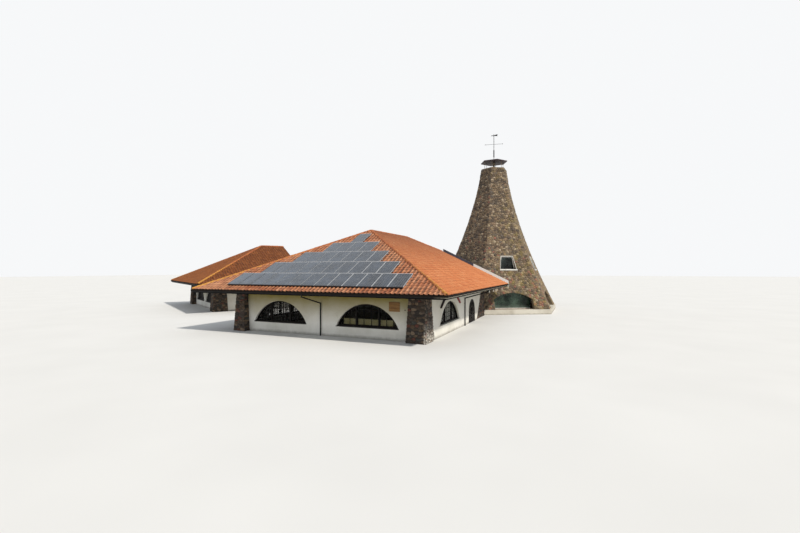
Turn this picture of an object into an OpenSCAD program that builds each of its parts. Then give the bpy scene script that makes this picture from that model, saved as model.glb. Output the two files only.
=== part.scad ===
// Inn pavilions with red pantile hipped roofs and a flared six-sided stone tower, modelled at half size.
// Millimetres at model scale, z up, origin on the ground under the apex of the front hall roof.
// The front hall faces -y, the wing stands to its left, the tower behind its right rear corner.

/* [Hall roof] */
// Width of the hall roof from eave to eave
roof_w = 9900; // [9600:10:10200]
// Depth of the hall roof from front eave to rear verge
roof_d = 10500; // [10300:10:10700]
// Height of the roof surface at the eaves
eave_h = 1565; // [1500:5:1650]
// Slope of every roof surface in degrees
roof_pitch = 26; // [24:0.5:28]
// Vertical thickness of tiles, boards and rafters
roof_t = 50; // [40:1:60]
// Run of the small clipped gable at the rear of the hall roof
clip_run = 1500; // [1200:10:1800]
// Radius of the round ridge and hip tiles
cap_r = 62; // [50:1:75]
// Height of the dark board under the eaves
fascia_h = 68; // [60:1:80]
// Thickness of that board
fascia_t = 30; // [22:1:40]
// Distance of that board behind the eave edge
fascia_in = 70; // [66:1:80]
// Thickness of the metal strip along the rear verge
verge_t = 28; // [20:1:36]
// Height of that strip above the roof surface
verge_up = 170; // [150:5:190]
// Depth of that strip below the roof surface
verge_down = 130; // [100:1:160]
// Radius of the gutters
gutter_r = 32; // [28:1:36]
// Thickness of the gutter metal
gutter_t = 5; // [3:1:7]

/* [Hall walls] */
// Thickness of the outer walls
wall_t = 175; // [140:1:210]
// Overhang of the front eave beyond the front wall
front_over = 1150; // [1000:10:1250]
// Overhang of the right eave beyond the right wall
right_over = 1025; // [950:5:1100]
// Overhang of the left eave beyond the left wall
left_over = 1350; // [1250:10:1450]
// Overhang of the rear verge beyond the rear wall
rear_over = 700; // [600:10:800]
// Thickness of the hall floor
floor_t = 60; // [40:1:80]

/* [Stone piers] */
// Width of a corner pier at the ground
pier_w = 670; // [600:5:740]
// Depth of a corner pier at the ground
pier_d = 800; // [700:5:900]
// How far a pier stands out in front of its wall at the ground
pier_out = 270; // [200:5:320]
// How far a pier stands out beyond the side wall at the ground
pier_side = 50; // [30:1:80]
// Width of the slimmer left pier of the hall at the ground
left_pier_w = 525; // [480:5:600]
// How far the left pier stands out beyond the left wall
left_pier_side = 130; // [100:5:150]
// How far each pier face leans in for each metre of height
pier_lean = 55; // [30:1:80]

/* [Lunette windows] */
// Width of a front lunette at its sill
lunette_w = 2330; // [2100:10:2500]
// Width of the side lunettes at their sills
side_lunette_w = 2500; // [2200:10:2700]
// Height of a lunette from sill to crown
lunette_h = 775; // [700:5:820]
// Height of the lunette sills above the ground
sill_h = 380; // [320:5:450]
// Distance from the side eaves to the outer end of each front lunette
lunette_side = 2000; // [1900:5:2100]
// Distance from the front wall to the middle of the side lunettes
side_lunette_in = 2550; // [2400:10:2650]
// Spacing of the lunettes along a side or a rear wall
lunette_pitch = 3400; // [3000:10:3600]
// Width of a window frame bar
frame_w = 42; // [30:1:55]
// Depth of the window frames
frame_d = 60; // [40:1:80]
// How far the window frames sit behind the wall face
frame_set = 70; // [50:1:90]
// Thickness of the glass
glass_t = 8; // [5:1:12]
// Distance of the two thick window posts from the middle of a lunette
post_x = 425; // [350:5:500]

/* [Side door] */
// Width of the arched door opening
door_w = 1130; // [1000:10:1200]
// Height of the arched door opening
door_h = 1010; // [960:5:1080]
// Distance from the front wall to the middle of the door
door_in = 5825; // [5750:5:5875]
// Length of white wall behind the door, at the ground
jamb_l = 360; // [300:5:420]
// How far the end of that wall leans back for each metre of height
jamb_lean = 660; // [500:10:700]
// How far the stone wall sits behind the face of the white wall
stone_set = 60; // [40:1:90]
// Thickness of a door leaf
leaf_t = 26; // [20:1:32]
// Gap round the door leaves
leaf_gap = 6; // [5:1:9]
// Width of the door frame bar
door_bar = 45; // [35:1:55]
// How far the door frame stops short of the inner face of the wall
door_frame_short = 20; // [10:1:40]
// Width of the stiles and rails round the glass of a leaf
stile_w = 70; // [55:1:85]
// Radius of the hinge knuckles
hinge_r = 8; // [6:1:10]
// Length of a hinge knuckle
hinge_l = 60; // [40:5:80]
// Height of the solid panel at the foot of a leaf
kick_h = 190; // [150:5:260]

/* [Wall fittings] */
// Radius of a downpipe
pipe_r = 22; // [16:1:26]
// Space between a downpipe and its wall
pipe_set = 12; // [8:1:20]
// Height of the bend where a downpipe turns out to the gutter
pipe_bend_h = 1130; // [1050:5:1180]
// How much thicker a bend is than its pipe
pipe_bend_grow = 3; // [2:1:5]
// Distance from the front wall to the downpipe on the right wall
side_pipe_in = 4520; // [4350:5:4650]
// Distance from the right wall to the middle of the slatted board
board_in = 1115; // [1000:5:1250]
// Height of the underside of the slatted board
board_z = 945; // [900:5:1000]
// Width of the slatted board
board_w = 380; // [320:5:440]
// Height of one slat
slat_h = 38; // [30:1:46]
// Open joint between two slats
slat_gap = 6; // [4:1:8]
// Number of slats
slat_count = 7; // [5:1:7]
// Thickness of a slat
slat_t = 22; // [15:1:30]
// Thickness of the red timber frame over the right lunette
strut_t = 60; // [45:1:75]
// Distance of the feet of the red frame from the middle of the lunette
strut_foot = 1210; // [1150:5:1260]
// Height of the feet of the red frame
strut_h = 975; // [940:5:1020]
// Rise of its braces in degrees
strut_pitch = 32; // [28:0.5:36]
// Height of its top beam
strut_top = 1440; // [1380:5:1500]

/* [Solar panels] */
// Number of rows of panels
panel_rows = 5; // [3:1:5]
// Panels in the lowest row
panels_low = 13; // [11:1:13]
// Panels fewer in each higher row
panels_fewer = 3; // [2:1:3]
// Width of one panel
panel_w = 520; // [490:1:530]
// Length of one panel up the slope
panel_l = 905; // [850:1:910]
// Thickness of one panel
panel_t = 20; // [15:1:25]
// Space from one panel to the next along a row
panel_gap = 12; // [6:1:16]
// Space from one row of panels to the next
row_gap = 24; // [12:1:30]
// Width of the rails under the panels
rail_w = 24; // [16:1:30]
// Height of the panels above the roof surface
panel_rise = 62; // [50:1:75]
// Distance of the lowest row from the front eave
panel_start = 290; // [260:5:320]
// Distance of the rightmost panel from the right eave
panel_side = 1450; // [1420:5:1480]

/* [Tower] */
// Distance from the line of the right wall in to the tower middle
tower_in = 320; // [285:1:345]
// Distance from the rear wall of the hall to the tower middle
tower_behind = 3900; // [3870:1:4000]
// Distance from the tower middle to a corner at its foot
tower_r_foot = 3725; // [3650:5:3750]
// Distance from the tower middle to a corner at its top
tower_r_top = 755; // [720:5:800]
// Height of the tower walls
tower_h = 8140; // [7900:10:8400]
// Height of the plastered plinth under the tower
plinth_h = 250; // [200:5:300]
// How far the plinth stands out beyond the tower corners
plinth_out = 90; // [60:1:100]
// Thickness of the tower walls
tower_wall_t = 200; // [160:5:240]
// Share of straight taper in the tower flare
flare_straight = 0.28; // [0.2:0.01:0.4]
// Sharpness of the flare towards the foot
flare_power = 1.65; // [1.5:0.01:1.9]
// Width of the low arched tower windows
tower_arch_w = 2090; // [1900:10:2200]
// Height of the low arched tower windows
tower_arch_h = 830; // [780:5:880]
// Rise of their arch
tower_arch_rise = 330; // [280:5:380]
// Height of the sill of the upper tower windows
upper_sill = 2295; // [2200:5:2400]
// Height of the upper tower windows
upper_h = 725; // [650:5:800]
// Width of the upper windows at their sill
upper_w_low = 900; // [800:5:1000]
// Width of the upper windows at their head
upper_w_high = 650; // [560:5:740]
// How far the low tower windows sit behind the wall face at their head
arch_set = 190; // [160:5:200]
// How far the upper tower windows sit behind the wall face at their head
upper_set = 60; // [45:5:80]

/* [Cap and vane] */
// Height of the cap plate above the tower walls
cap_post_h = 440; // [400:5:480]
// Radius of the thin posts at its corners
cap_post_r = 11; // [9:1:14]
// Radius of the thick post in the middle
cap_pipe_r = 55; // [45:1:65]
// Thickness of the slab that closes the tower top
crown_t = 40; // [30:1:50]
// Thickness of the cap plate
cap_t = 46; // [36:1:60]
// Radius of the cap plate to a corner
cap_plate_r = 780; // [740:5:810]
// Turn of the cap plate against the tower in degrees
cap_turn = 26; // [20:1:34]
// Height of the low cone round the foot of the mast
cap_cone_h = 50; // [40:1:60]
// Radius of that cone at its foot
cap_cone_r = 150; // [120:5:180]
// Radius of that cone at its top
cap_cone_r_top = 40; // [30:1:50]
// Height of the vane bearing above the cap
pivot_h = 1462; // [1380:2:1540]
// Height of the four arms above the cap
arm_h = 1000; // [950:5:1050]
// Height of the foot of the thick spindle above the cap
spindle_h = 236; // [200:2:280]
// Length of the thick spindle
spindle_l = 420; // [380:5:460]
// Radius of the thick spindle
spindle_r = 31; // [26:1:36]
// Radius of the mast
mast_r = 14; // [11:1:17]
// Length of each of the four arms
arm_l = 500; // [440:5:540]
// Turn of the arms from the front of the hall in degrees
arm_turn = 11; // [5:1:17]
// Radius of an arm
arm_r = 8; // [6:1:10]
// Radius of the knob on the end of an arm
knob_r = 22; // [18:1:26]
// Length of the turning vane
vane_l = 230; // [200:5:260]
// Height of the vane
vane_h = 110; // [90:5:130]
// Thickness of the vane
vane_t = 8; // [6:1:12]
// Running gap round the vane bearing
vane_gap = 3; // [2:0.5:4]
// How far the bearing pin stands up beyond the vane
pin_over = 39; // [30:1:50]

/* [Wing] */
// Distance from the wing apex to the hall apex, less one hall roof width
wing_apart = 1025; // [1000:5:1150]
// Distance from the wing apex back to the rear verge of the hall
wing_ahead = 25; // [10:5:50]
// Turn of the wing in degrees
wing_turn = 31; // [30:0.5:32]
// Width of the wing roof from eave to eave
wing_w = 9350; // [9200:10:9400]
// Depth of the wing roof from front eave to rear verge
wing_d = 6150; // [6050:10:6250]
// Overhang of the front eave of the wing beyond its front wall
wing_front_over = 1300; // [1250:10:1350]
// Overhang of the wing roof beyond its left wall
wing_left_over = 1075; // [1050:5:1100]
// Overhang of the wing roof beyond its right wall
wing_right_over = 1475; // [1450:5:1550]
// Overhang of the wing verge beyond its rear wall
wing_rear_over = 150; // [120:5:200]

/* [Link] */
// Space between the top of the flat roof and the fascia above it
link_under = 15; // [8:1:30]
// Thickness of the flat roof
link_roof_t = 80; // [60:1:100]
// Distance from the tower middle back to the rear wall of the link
link_behind = 1850; // [1650:10:2050]
// How far the link reaches along the rear wall of the wing, from its middle
link_reach = 1100; // [900:10:1300]
// Gap between the link and its neighbours
link_gap = 20; // [10:1:30]

/* [Hidden] */

slope = tan(roof_pitch);
half_w = roof_w / 2;
// Height of the apex of a roof of half width h
function top(h) = eave_h + h * slope;
apex_h = top(half_w);
roof_front = -half_w;
roof_back = roof_d - half_w;
ridge_end = roof_back - clip_run;
front_face = roof_front + front_over;
right_face = half_w - right_over;
left_face = -half_w + left_over;
rear_face = roof_back - rear_over;
lunette_x = half_w - lunette_side - lunette_w / 2;
side_lunette_y = front_face + side_lunette_in;
door_y = front_face + door_in;
tower_x = right_face - tower_in;
tower_y = rear_face + tower_behind;
wing_x = roof_w + wing_apart;
wing_y = roof_back - wing_ahead;
link_back = tower_y + link_behind;
// Height of the columns that cut plan shapes out, well over the apex
tall = apex_h + wall_t + eave_h;
// Height that the piers are drawn to before the roof cuts them
pier_top = (eave_h + apex_h) / 2;
hall_pier_w = [left_pier_w, pier_w];
hall_pier_outer = [left_face - left_pier_side, right_face + pier_side];
eps = 0.01;
// Overlap of parts that are joined into one, and of cuts beyond a surface
bite = 1;
// Clearance round glass and frames
fit = 0.3;
// Open joint at the hips, at the mitred corners of gutters and tower, and between runs of ridge tiles
mitre = 0.5;

// Both roofs are drawn by the same modules, from half width h, depth d and the run c of a clipped rear gable

// Solid under the roof surfaces, lowered by drop
module under_roof(drop, h, d, c) {
    back = d - h;
    intersection() {
        translate([0, back, 0]) rotate([90, 0, 0]) linear_extrude(d)
            polygon([[-h, 0], [h, 0], [h, eave_h - drop], [0, top(h) - drop], [-h, eave_h - drop]]);
        rotate([90, 0, 90]) translate([0, 0, -h]) linear_extrude(2 * h)
            polygon([[-h, 0], [back, 0], [back, top(h) - drop - c * slope],
                [back - c, top(h) - drop], [0, top(h) - drop], [-h, eave_h - drop]]);
    }
}

// Upright column over a plan outline
module over_plan(points) {
    linear_extrude(tall) polygon(points);
}

// Band of roof that rises along +y from the front eave, over the whole width
module rising_band(h) {
    rotate([90, 0, 90]) translate([0, 0, -h]) linear_extrude(2 * h)
        polygon([[-h, eave_h], [0, top(h)], [0, top(h) - roof_t], [-h, eave_h - roof_t]]);
}

// Band of roof that rises from the side eave at side (+1 right, -1 left)
module side_band(side, h, d) {
    translate([0, d - h, 0]) rotate([90, 0, 0]) linear_extrude(d)
        polygon([[side * h, eave_h], [0, top(h)], [0, top(h) - roof_t], [side * h, eave_h - roof_t]]);
}

module roof_front_slope(h) {
    intersection() {
        rising_band(h);
        over_plan([[-h + mitre, -h], [h - mitre, -h], [0, -mitre]]);
    }
}

module roof_side_slope(side, h, d, c) {
    intersection() {
        side_band(side, h, d);
        over_plan([[side * h, -h], [side * mitre / 2, -mitre / 2], [side * mitre / 2, d - h - c],
            [side * max(c, mitre), d - h], [side * h, d - h]]);
    }
}

module roof_clip_slope() {
    intersection() {
        rotate([90, 0, 90]) translate([0, 0, -half_w]) linear_extrude(roof_w)
            polygon([[ridge_end, apex_h], [roof_back, apex_h - clip_run * slope],
                [roof_back, apex_h - clip_run * slope - roof_t], [ridge_end, apex_h - roof_t]]);
        over_plan([[0, ridge_end], [clip_run, roof_back], [-clip_run, roof_back]]);
    }
}

// Round tile run from point a to point b, kept above the roof surfaces
module tile_run(a, b) {
    v = b - a;
    len = norm(v);
    translate(a) rotate([0, acos(v[2] / len), atan2(v[1], v[0])]) cylinder(r = cap_r, h = len, $fn = 12);
}

// Level of the gutter rims and the top of the fascia, just under the eave
eave_low = eave_h - roof_t - 1;
// Distance of the gutter middle behind the eave edge
gutter_in = 32;
// Height of the strip that holds the gutter, and its drop below the rim
bracket_h = 20;
bracket_drop = 6;

// Gutter and fascia profile in (out, z), where out is 0 at the eave edge
module eave_profile() {
    translate([-fascia_in - fascia_t, eave_low - fascia_h]) square([fascia_t, fascia_h]);
    translate([-gutter_in, eave_low]) difference() {
        circle(r = gutter_r, $fn = 12);
        circle(r = gutter_r - gutter_t, $fn = 12);
        translate([-gutter_r - bite, 0]) square([2 * (gutter_r + bite), gutter_r + bite]);
    }
    translate([-fascia_in - bite, eave_low - bracket_drop - bracket_h])
        square([fascia_in - gutter_in - gutter_r + gutter_t - bite, bracket_h]);
}

// Straight eave run along the front, or along a side to the rear verge
module front_eave(h) {
    intersection() {
        translate([-h, -h, 0]) rotate([90, 0, 90]) mirror([1, 0, 0]) linear_extrude(2 * h) eave_profile();
        over_plan([[-h - gutter_r + mitre, -h - gutter_r],
            [h + gutter_r - mitre, -h - gutter_r], [0, -mitre]]);
    }
}

module side_eave(side, h, d) {
    intersection() {
        translate([side * h, d - h, 0]) rotate([90, 0, 0]) mirror([side < 0 ? 1 : 0, 0, 0])
            linear_extrude(d) eave_profile();
        over_plan([[side * (h + gutter_r), -h - gutter_r + mitre], [side * cap_r, -cap_r + mitre],
            [side * cap_r, d], [side * (h + gutter_r), d]]);
    }
}

// Solid of a lunette opening along +y through a wall, sill at z = 0
module lunette_hole(w, depth) {
    r = (w * w / 4 + lunette_h * lunette_h) / (2 * lunette_h);
    intersection() {
        translate([0, 0, lunette_h - r]) rotate([-90, 0, 0]) cylinder(r = r, h = depth, $fn = 96);
        translate([-w / 2, 0, 0]) cube([w, depth, lunette_h]);
    }
}

// Left and right ends of the three bays between the posts of a lunette
function lunette_bays(w) = [[-w / 2, -post_x - frame_w / 2], [-post_x + frame_w / 2, post_x - frame_w / 2],
    [post_x + frame_w / 2, w / 2]];

// Frame ring with two thick posts, sill at z = 0, running back along +y
module lunette_frame(w) {
    r = (w * w / 4 + lunette_h * lunette_h) / (2 * lunette_h);
    difference() {
        lunette_hole(w, frame_d);
        translate([0, -bite, 0]) intersection() {
            translate([0, 0, lunette_h - r]) rotate([-90, 0, 0])
                cylinder(r = r - frame_w, h = frame_d + 2 * bite, $fn = 96);
            for (b = lunette_bays(w))
                translate([b[0], 0, frame_w]) cube([b[1] - b[0], frame_d + 2 * bite, lunette_h]);
        }
    }
}

// Glass of a lunette, split between the posts, sill at z = 0
module lunette_glass(w) {
    r = (w * w / 4 + lunette_h * lunette_h) / (2 * lunette_h);
    for (b = lunette_bays(w))
        intersection() {
            translate([0, 0, lunette_h - r]) rotate([-90, 0, 0])
                cylinder(r = r - frame_w - fit, h = glass_t, $fn = 96);
            translate([b[0] + fit, 0, frame_w + fit])
                cube([b[1] - b[0] - 2 * fit, glass_t, lunette_h]);
        }
}

module glazed_lunette(w) {
    lunette_frame(w);
    translate([0, frame_d / 2, 0]) lunette_glass(w);
}

// Battered corner pier: base centred on x, front face at y = 0 going back, leaning in on all sides
module pier(w, d, top) {
    lean = pier_lean * top / 1000;
    intersection() {
        rotate([90, 0, 0]) translate([0, 0, -d]) linear_extrude(d)
            polygon([[-w / 2, 0], [w / 2, 0], [w / 2 - lean, top], [-w / 2 + lean, top]]);
        translate([-w / 2, 0, 0]) rotate([90, 0, 90]) linear_extrude(w)
            polygon([[0, 0], [d, 0], [d - lean, top], [lean, top]]);
    }
}

module hall_pier(side) {
    k = side > 0 ? 1 : 0;
    intersection() {
        translate([hall_pier_outer[k] - side * hall_pier_w[k] / 2, front_face - pier_out, 0])
            pier(hall_pier_w[k], pier_d, pier_top);
        under_roof(roof_t, half_w, roof_d, clip_run);
    }
}

module hall_piers() {
    color("dimgray") {
        hall_pier(1);
        hall_pier(-1);
    }
}

// Space that a pier takes out of the walls: wide runs it on sideways so that a side wall stops behind it
module pier_cut(w, outer, side, front, wide_cut) {
    translate([outer - side * w / 2, front - pier_out, 0])
        if (wide_cut)
            translate([-w, 0, 0]) rotate([90, 0, 90]) linear_extrude(2 * w)
                polygon([[0, 0], [pier_d, 0], [pier_d - pier_lean * tall / 1000, tall], [0, tall]]);
        else
            pier(w, pier_d, pier_top);
}

// Walls are cut from plain boxes by the roof above and the piers at the corners
module hall_wall(corner, size, side_wall = false) {
    difference() {
        intersection() {
            translate(corner) cube(size);
            under_roof(roof_t, half_w, roof_d, clip_run);
        }
        for (k = [0, 1])
            pier_cut(hall_pier_w[k], hall_pier_outer[k], 2 * k - 1, front_face, side_wall);
    }
}

module hall_floor() {
    color("tan") translate([left_face + wall_t, front_face + wall_t, 0])
        difference() {
            cube([right_face - left_face - 2 * wall_t, rear_face - front_face - 2 * wall_t, floor_t]);
            translate([-left_face - wall_t, -front_face - wall_t, 0]) {
                hall_pier(1);
                hall_pier(-1);
                translate([right_face - wall_t - stone_set, door_y + door_w / 2 + jamb_l, 0])
                    cube([2 * stone_set, roof_d, floor_t]);
            }
        }
}

module hall_front_wall() {
    color("white") difference() {
        hall_wall([hall_pier_outer[0] + left_pier_w / 2, front_face, 0],
            [hall_pier_outer[1] - hall_pier_outer[0] - (left_pier_w + pier_w) / 2, wall_t, tall]);
        for (side = [-1, 1])
            translate([side * lunette_x, front_face - bite, sill_h])
                lunette_hole(lunette_w, wall_t + 2 * bite);
    }
}

module hall_right_wall() {
    color("white") difference() {
        hall_wall([right_face - wall_t, front_face + wall_t, 0],
            [wall_t, door_y - door_w / 2 - front_face - wall_t, tall], true);
        translate([right_face + bite, side_lunette_y, sill_h]) rotate([0, 0, 90])
            lunette_hole(side_lunette_w, wall_t + 2 * bite);
    }
}

module door_hole(grow, depth) {
    rise = door_w / 2;
    rotate([0, 0, 90]) {
        translate([-door_w / 2 - grow, 0, 0]) cube([door_w + 2 * grow, depth, door_h - rise]);
        intersection() {
            translate([0, 0, door_h - rise]) rotate([-90, 0, 0])
                cylinder(r = rise + grow, h = depth, $fn = 64);
            translate([-door_w, 0, door_h - rise]) cube([2 * door_w, depth, door_w]);
        }
    }
}

module hall_door_lintel() {
    color("white") difference() {
        hall_wall([right_face - wall_t, door_y - door_w / 2, door_h - door_w / 2], [wall_t, door_w, tall]);
        translate([right_face + bite, door_y, 0]) door_hole(0, wall_t + 2 * bite);
    }
}

// The right wall from the door back to the rear wall, split by the leaning end of its white part
module behind_door(white_part) {
    start = door_y + door_w / 2;
    lean_end = start + jamb_l + jamb_lean * apex_h / 1000;
    intersection() {
        hall_wall([right_face - wall_t - (white_part ? 0 : stone_set), start, 0],
            [wall_t, rear_face - start, tall]);
        rotate([90, 0, 90]) linear_extrude(half_w)
            polygon([[start + jamb_l, 0], [lean_end, apex_h],
                [white_part ? start : lean_end + roof_d, apex_h],
                [white_part ? start : lean_end + roof_d, 0]]);
    }
}

module hall_door_jamb() {
    color("white") behind_door(true);
}

module hall_stone_wall() {
    color("dimgray") behind_door(false);
}

module hall_left_wall() {
    color("white") difference() {
        hall_wall([left_face, front_face + wall_t, 0], [wall_t, rear_face - front_face - wall_t, tall], true);
        for (y = [side_lunette_y, side_lunette_y + lunette_pitch])
            translate([left_face + wall_t + bite, y, sill_h]) rotate([0, 0, 90])
                lunette_hole(side_lunette_w, wall_t + 2 * bite);
    }
}

module hall_rear_wall() {
    color("white")
        hall_wall([left_face + wall_t, rear_face - wall_t, 0],
            [right_face - left_face - 2 * wall_t - stone_set, wall_t, tall]);
}

module hall_roof_front() {
    color("indianred") roof_front_slope(half_w);
}

module hall_roof_right() {
    color("tomato") roof_side_slope(1, half_w, roof_d, clip_run);
}

module hall_roof_left() {
    color("tomato") roof_side_slope(-1, half_w, roof_d, clip_run);
}

module hall_roof_clip() {
    color("tomato") roof_clip_slope();
}

// One run of ridge tiles, kept to its own part of the plan
module ridge_run(a, b, plan, h, d, c) {
    difference() {
        intersection() {
            tile_run(a, b);
            over_plan(plan);
        }
        under_roof(0, h, d, c);
    }
}

// The runs stop just short of the eave corners and of the rear verge
module ridge_tiles(h, d, c) {
    apex = [0, 0, top(h)];
    back = d - h;
    end = [0, back - c, top(h)];
    corner = h - bite;
    over = 3 * cap_r;
    for (side = [-1, 1])
        ridge_run([side * h, -h, eave_h], apex,
            [[side * mitre, 0], [side * mitre, -h], [side * corner, -h], [side * corner, -mitre],
                [side * over, -mitre]], h, d, c);
    ridge_run(apex - [0, over, 0], end + [0, over, 0],
        [[-over, mitre], [over, mitre], [over, end[1] - mitre - bite], [-over, end[1] - mitre - bite]],
        h, d, c);
    if (c > 0)
        for (side = [-1, 1])
            ridge_run(end, [side * c, back, top(h) - c * slope],
                [[side * mitre, end[1]], [side * 2 * c, end[1]], [side * 2 * c, back - bite],
                    [side * mitre, back - bite]], h, d, c);
}

module hall_ridge_tiles() {
    color("sandybrown") ridge_tiles(half_w, roof_d, clip_run);
}

module hall_gutters() {
    color("black") {
        front_eave(half_w);
        side_eave(1, half_w, roof_d);
        side_eave(-1, half_w, roof_d);
    }
}

// Metal strip that closes the rear verge on both sides
module hall_verge_strip() {
    color("slategray")
        for (side = [-1, 1])
            translate([0, roof_back + verge_t, 0]) rotate([90, 0, 0]) linear_extrude(verge_t)
                polygon([for (p = [[half_w, verge_up], [clip_run, verge_up], [clip_run, -verge_down],
                    [half_w, -verge_down]]) [side * p[0], apex_h - p[0] * slope + p[1]]]);
}

// Downpipe on a wall that faces -y: clips, a bend, a run out below the fascia, and an outlet up to the gutter
module downpipe(over) {
    out = pipe_r + pipe_set;
    run = over - out - gutter_in;
    outlet_h = eave_low - fascia_h - out;
    rise = outlet_h - pipe_bend_h;
    translate([0, -out, 0]) {
        cylinder(r = pipe_r, h = pipe_bend_h, $fn = 20);
        translate([0, 0, pipe_bend_h]) rotate([atan2(run, rise), 0, 0])
            cylinder(r = pipe_r, h = norm([run, rise]), $fn = 20);
        translate([0, -run, outlet_h])
            cylinder(r = pipe_r, h = eave_low - gutter_r - fit - outlet_h, $fn = 20);
        for (bend = [[0, pipe_bend_h], [-run, outlet_h]])
            translate([0, bend[0], bend[1]]) sphere(r = pipe_r + pipe_bend_grow, $fn = 20);
        for (place = [0.2, 0.8])
            translate([-pipe_r / 2, 0, place * pipe_bend_h]) cube([pipe_r, out, pipe_r]);
    }
}

module hall_downpipes() {
    color("black") {
        translate([0, front_face, 0]) downpipe(front_over);
        translate([right_face, front_face + side_pipe_in, 0]) rotate([0, 0, 90]) downpipe(right_over);
    }
}

// Panels lie on the front slope in rows that grow shorter upwards, each on two rails
module solar_panels() {
    pitch_x = panel_w + panel_gap;
    pitch_l = panel_l + row_gap;
    color("lightslategray")
        translate([0, roof_front, eave_h]) rotate([roof_pitch, 0, 0])
            for (row = [0:panel_rows - 1]) {
                count = panels_low - panels_fewer * row;
                right = half_w - panel_side - row * panels_fewer / 2 * pitch_x;
                low = panel_start / cos(roof_pitch) + row * pitch_l;
                for (k = [1:count])
                    translate([right - k * pitch_x, low, panel_rise]) cube([panel_w, panel_l, panel_t]);
                for (place = [0.22, 0.78])
                    translate([right - count * pitch_x, low + place * panel_l - rail_w / 2, fit])
                        cube([count * pitch_x - panel_gap, rail_w, panel_rise - fit + eps]);
            }
}

module hall_front_windows() {
    color("saddlebrown")
        for (side = [-1, 1])
            translate([side * lunette_x, front_face + frame_set, sill_h]) lunette_frame(lunette_w);
}

module hall_right_window() {
    color("saddlebrown")
        translate([right_face - frame_set, side_lunette_y, sill_h]) rotate([0, 0, 90])
            lunette_frame(side_lunette_w);
}

module hall_left_window() {
    color("saddlebrown")
        for (y = [side_lunette_y, side_lunette_y + lunette_pitch])
            translate([left_face + frame_set, y, sill_h]) rotate([0, 0, -90])
                lunette_frame(side_lunette_w);
}

module hall_glass() {
    color("darkslategray") {
        for (side = [-1, 1])
            translate([side * lunette_x, front_face + frame_set + frame_d / 2, sill_h])
                lunette_glass(lunette_w);
        translate([right_face - frame_set - frame_d / 2, side_lunette_y, sill_h]) rotate([0, 0, 90])
            lunette_glass(side_lunette_w);
        for (y = [side_lunette_y, side_lunette_y + lunette_pitch])
            translate([left_face + frame_set + frame_d / 2, y, sill_h]) rotate([0, 0, -90])
                lunette_glass(side_lunette_w);
    }
}

// Arched frame that lines the door opening, flush with the wall face
module door_frame() {
    color("black")
        translate([right_face, door_y, 0]) difference() {
            door_hole(0, wall_t - door_frame_short);
            translate([bite, 0, -bite]) door_hole(-door_bar, wall_t);
        }
}

// Half of the arched doorway, drawn in by clear; side is -1 for the front leaf and +1 for the rear leaf
module leaf_outline(side, clear, middle, foot, from, depth) {
    intersection() {
        translate([right_face - from, door_y, 0]) door_hole(-clear, depth);
        translate([right_face - from - depth - bite,
            side > 0 ? door_y + middle : door_y - door_w - middle, foot])
                cube([depth + 2 * bite, door_w, door_h]);
    }
}

// One leaf of the arched door, a timber frame round a thin pane, with a solid foot
module door_leaf(side) {
    clear = door_bar + leaf_gap;
    color("black") {
        difference() {
            leaf_outline(side, clear, leaf_gap / 2, leaf_gap, 0, leaf_t);
            for (from = [-bite, (leaf_t + glass_t) / 2])
                leaf_outline(side, clear + stile_w, leaf_gap / 2 + stile_w, kick_h, from,
                    (leaf_t - glass_t) / 2 + bite);
        }
        for (z = [hinge_l, door_h - door_w / 2 - 1.5 * hinge_l])
            translate([right_face + hinge_r, door_y + side * hinge_y, z]) {
                cylinder(r = hinge_r, h = hinge_l, $fn = 24);
                translate([-hinge_r - bite, side > 0 ? -stile_w / 2 : 0, 0])
                    cube([hinge_r / 2, stile_w / 2, hinge_l]);
            }
    }
}

// Distance of the hinge axes from the middle of the door, over the gap between leaf and frame
hinge_y = door_w / 2 - door_bar - leaf_gap / 2;

module door_leaf_front() {
    door_leaf(-1);
}

module door_leaf_rear() {
    door_leaf(1);
}

// Red timber frame over the right lunette: two braces up to a short beam, flat on the wall
module eave_struts() {
    run = (strut_top - strut_h) / tan(strut_pitch);
    head = strut_foot - run;
    wide_cut = strut_t / sin(strut_pitch);
    color("darkred") translate([right_face, side_lunette_y, 0]) rotate([90, 0, 90]) linear_extrude(strut_t)
        polygon([[-strut_foot, strut_h], [-head, strut_top], [head, strut_top], [strut_foot, strut_h],
            [strut_foot + strut_t / 2, strut_h + strut_t / 2], [head + wide_cut / 2, strut_top + strut_t],
            [-head - wide_cut / 2, strut_top + strut_t], [-strut_foot - strut_t / 2, strut_h + strut_t / 2]]);
}

// Board of bare wooden slats on the front wall
module slatted_board() {
    color("tan")
        for (k = [0:slat_count - 1])
            translate([right_face - board_in - board_w / 2, front_face - slat_t,
                board_z + k * (slat_h + slat_gap)])
                    cube([board_w, slat_t, slat_h]);
}

// Distance from the tower middle to a corner at height z
function tower_r(z) =
    let (t = 1 - (z - plinth_h) / (tower_h - plinth_h))
    tower_r_top + (tower_r_foot - tower_r_top)
        * (flare_straight * t + (1 - flare_straight) * pow(t, flare_power));

// Number of straight steps that the flare is drawn in
flare_steps = 10;
function tower_z(k) = plinth_h + (tower_h - plinth_h) * k / flare_steps;

module hex_prism(r, h) {
    rotate([0, 0, 30]) cylinder(r = r, h = h, $fn = 6);
}

module tower_place() {
    translate([tower_x, tower_y, 0]) children();
}

module tower_plinth() {
    color("whitesmoke") tower_place() difference() {
        hex_prism(tower_r_foot + plinth_out, plinth_h);
        translate([0, 0, -bite]) hex_prism(tower_r_foot - tower_wall_t / cos(30), plinth_h + 2 * bite);
    }
}

module tower_floor() {
    color("tan") tower_place() translate([0, 0, plinth_h - floor_t])
        hex_prism(tower_r_foot - tower_wall_t / cos(30), floor_t);
}

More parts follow.
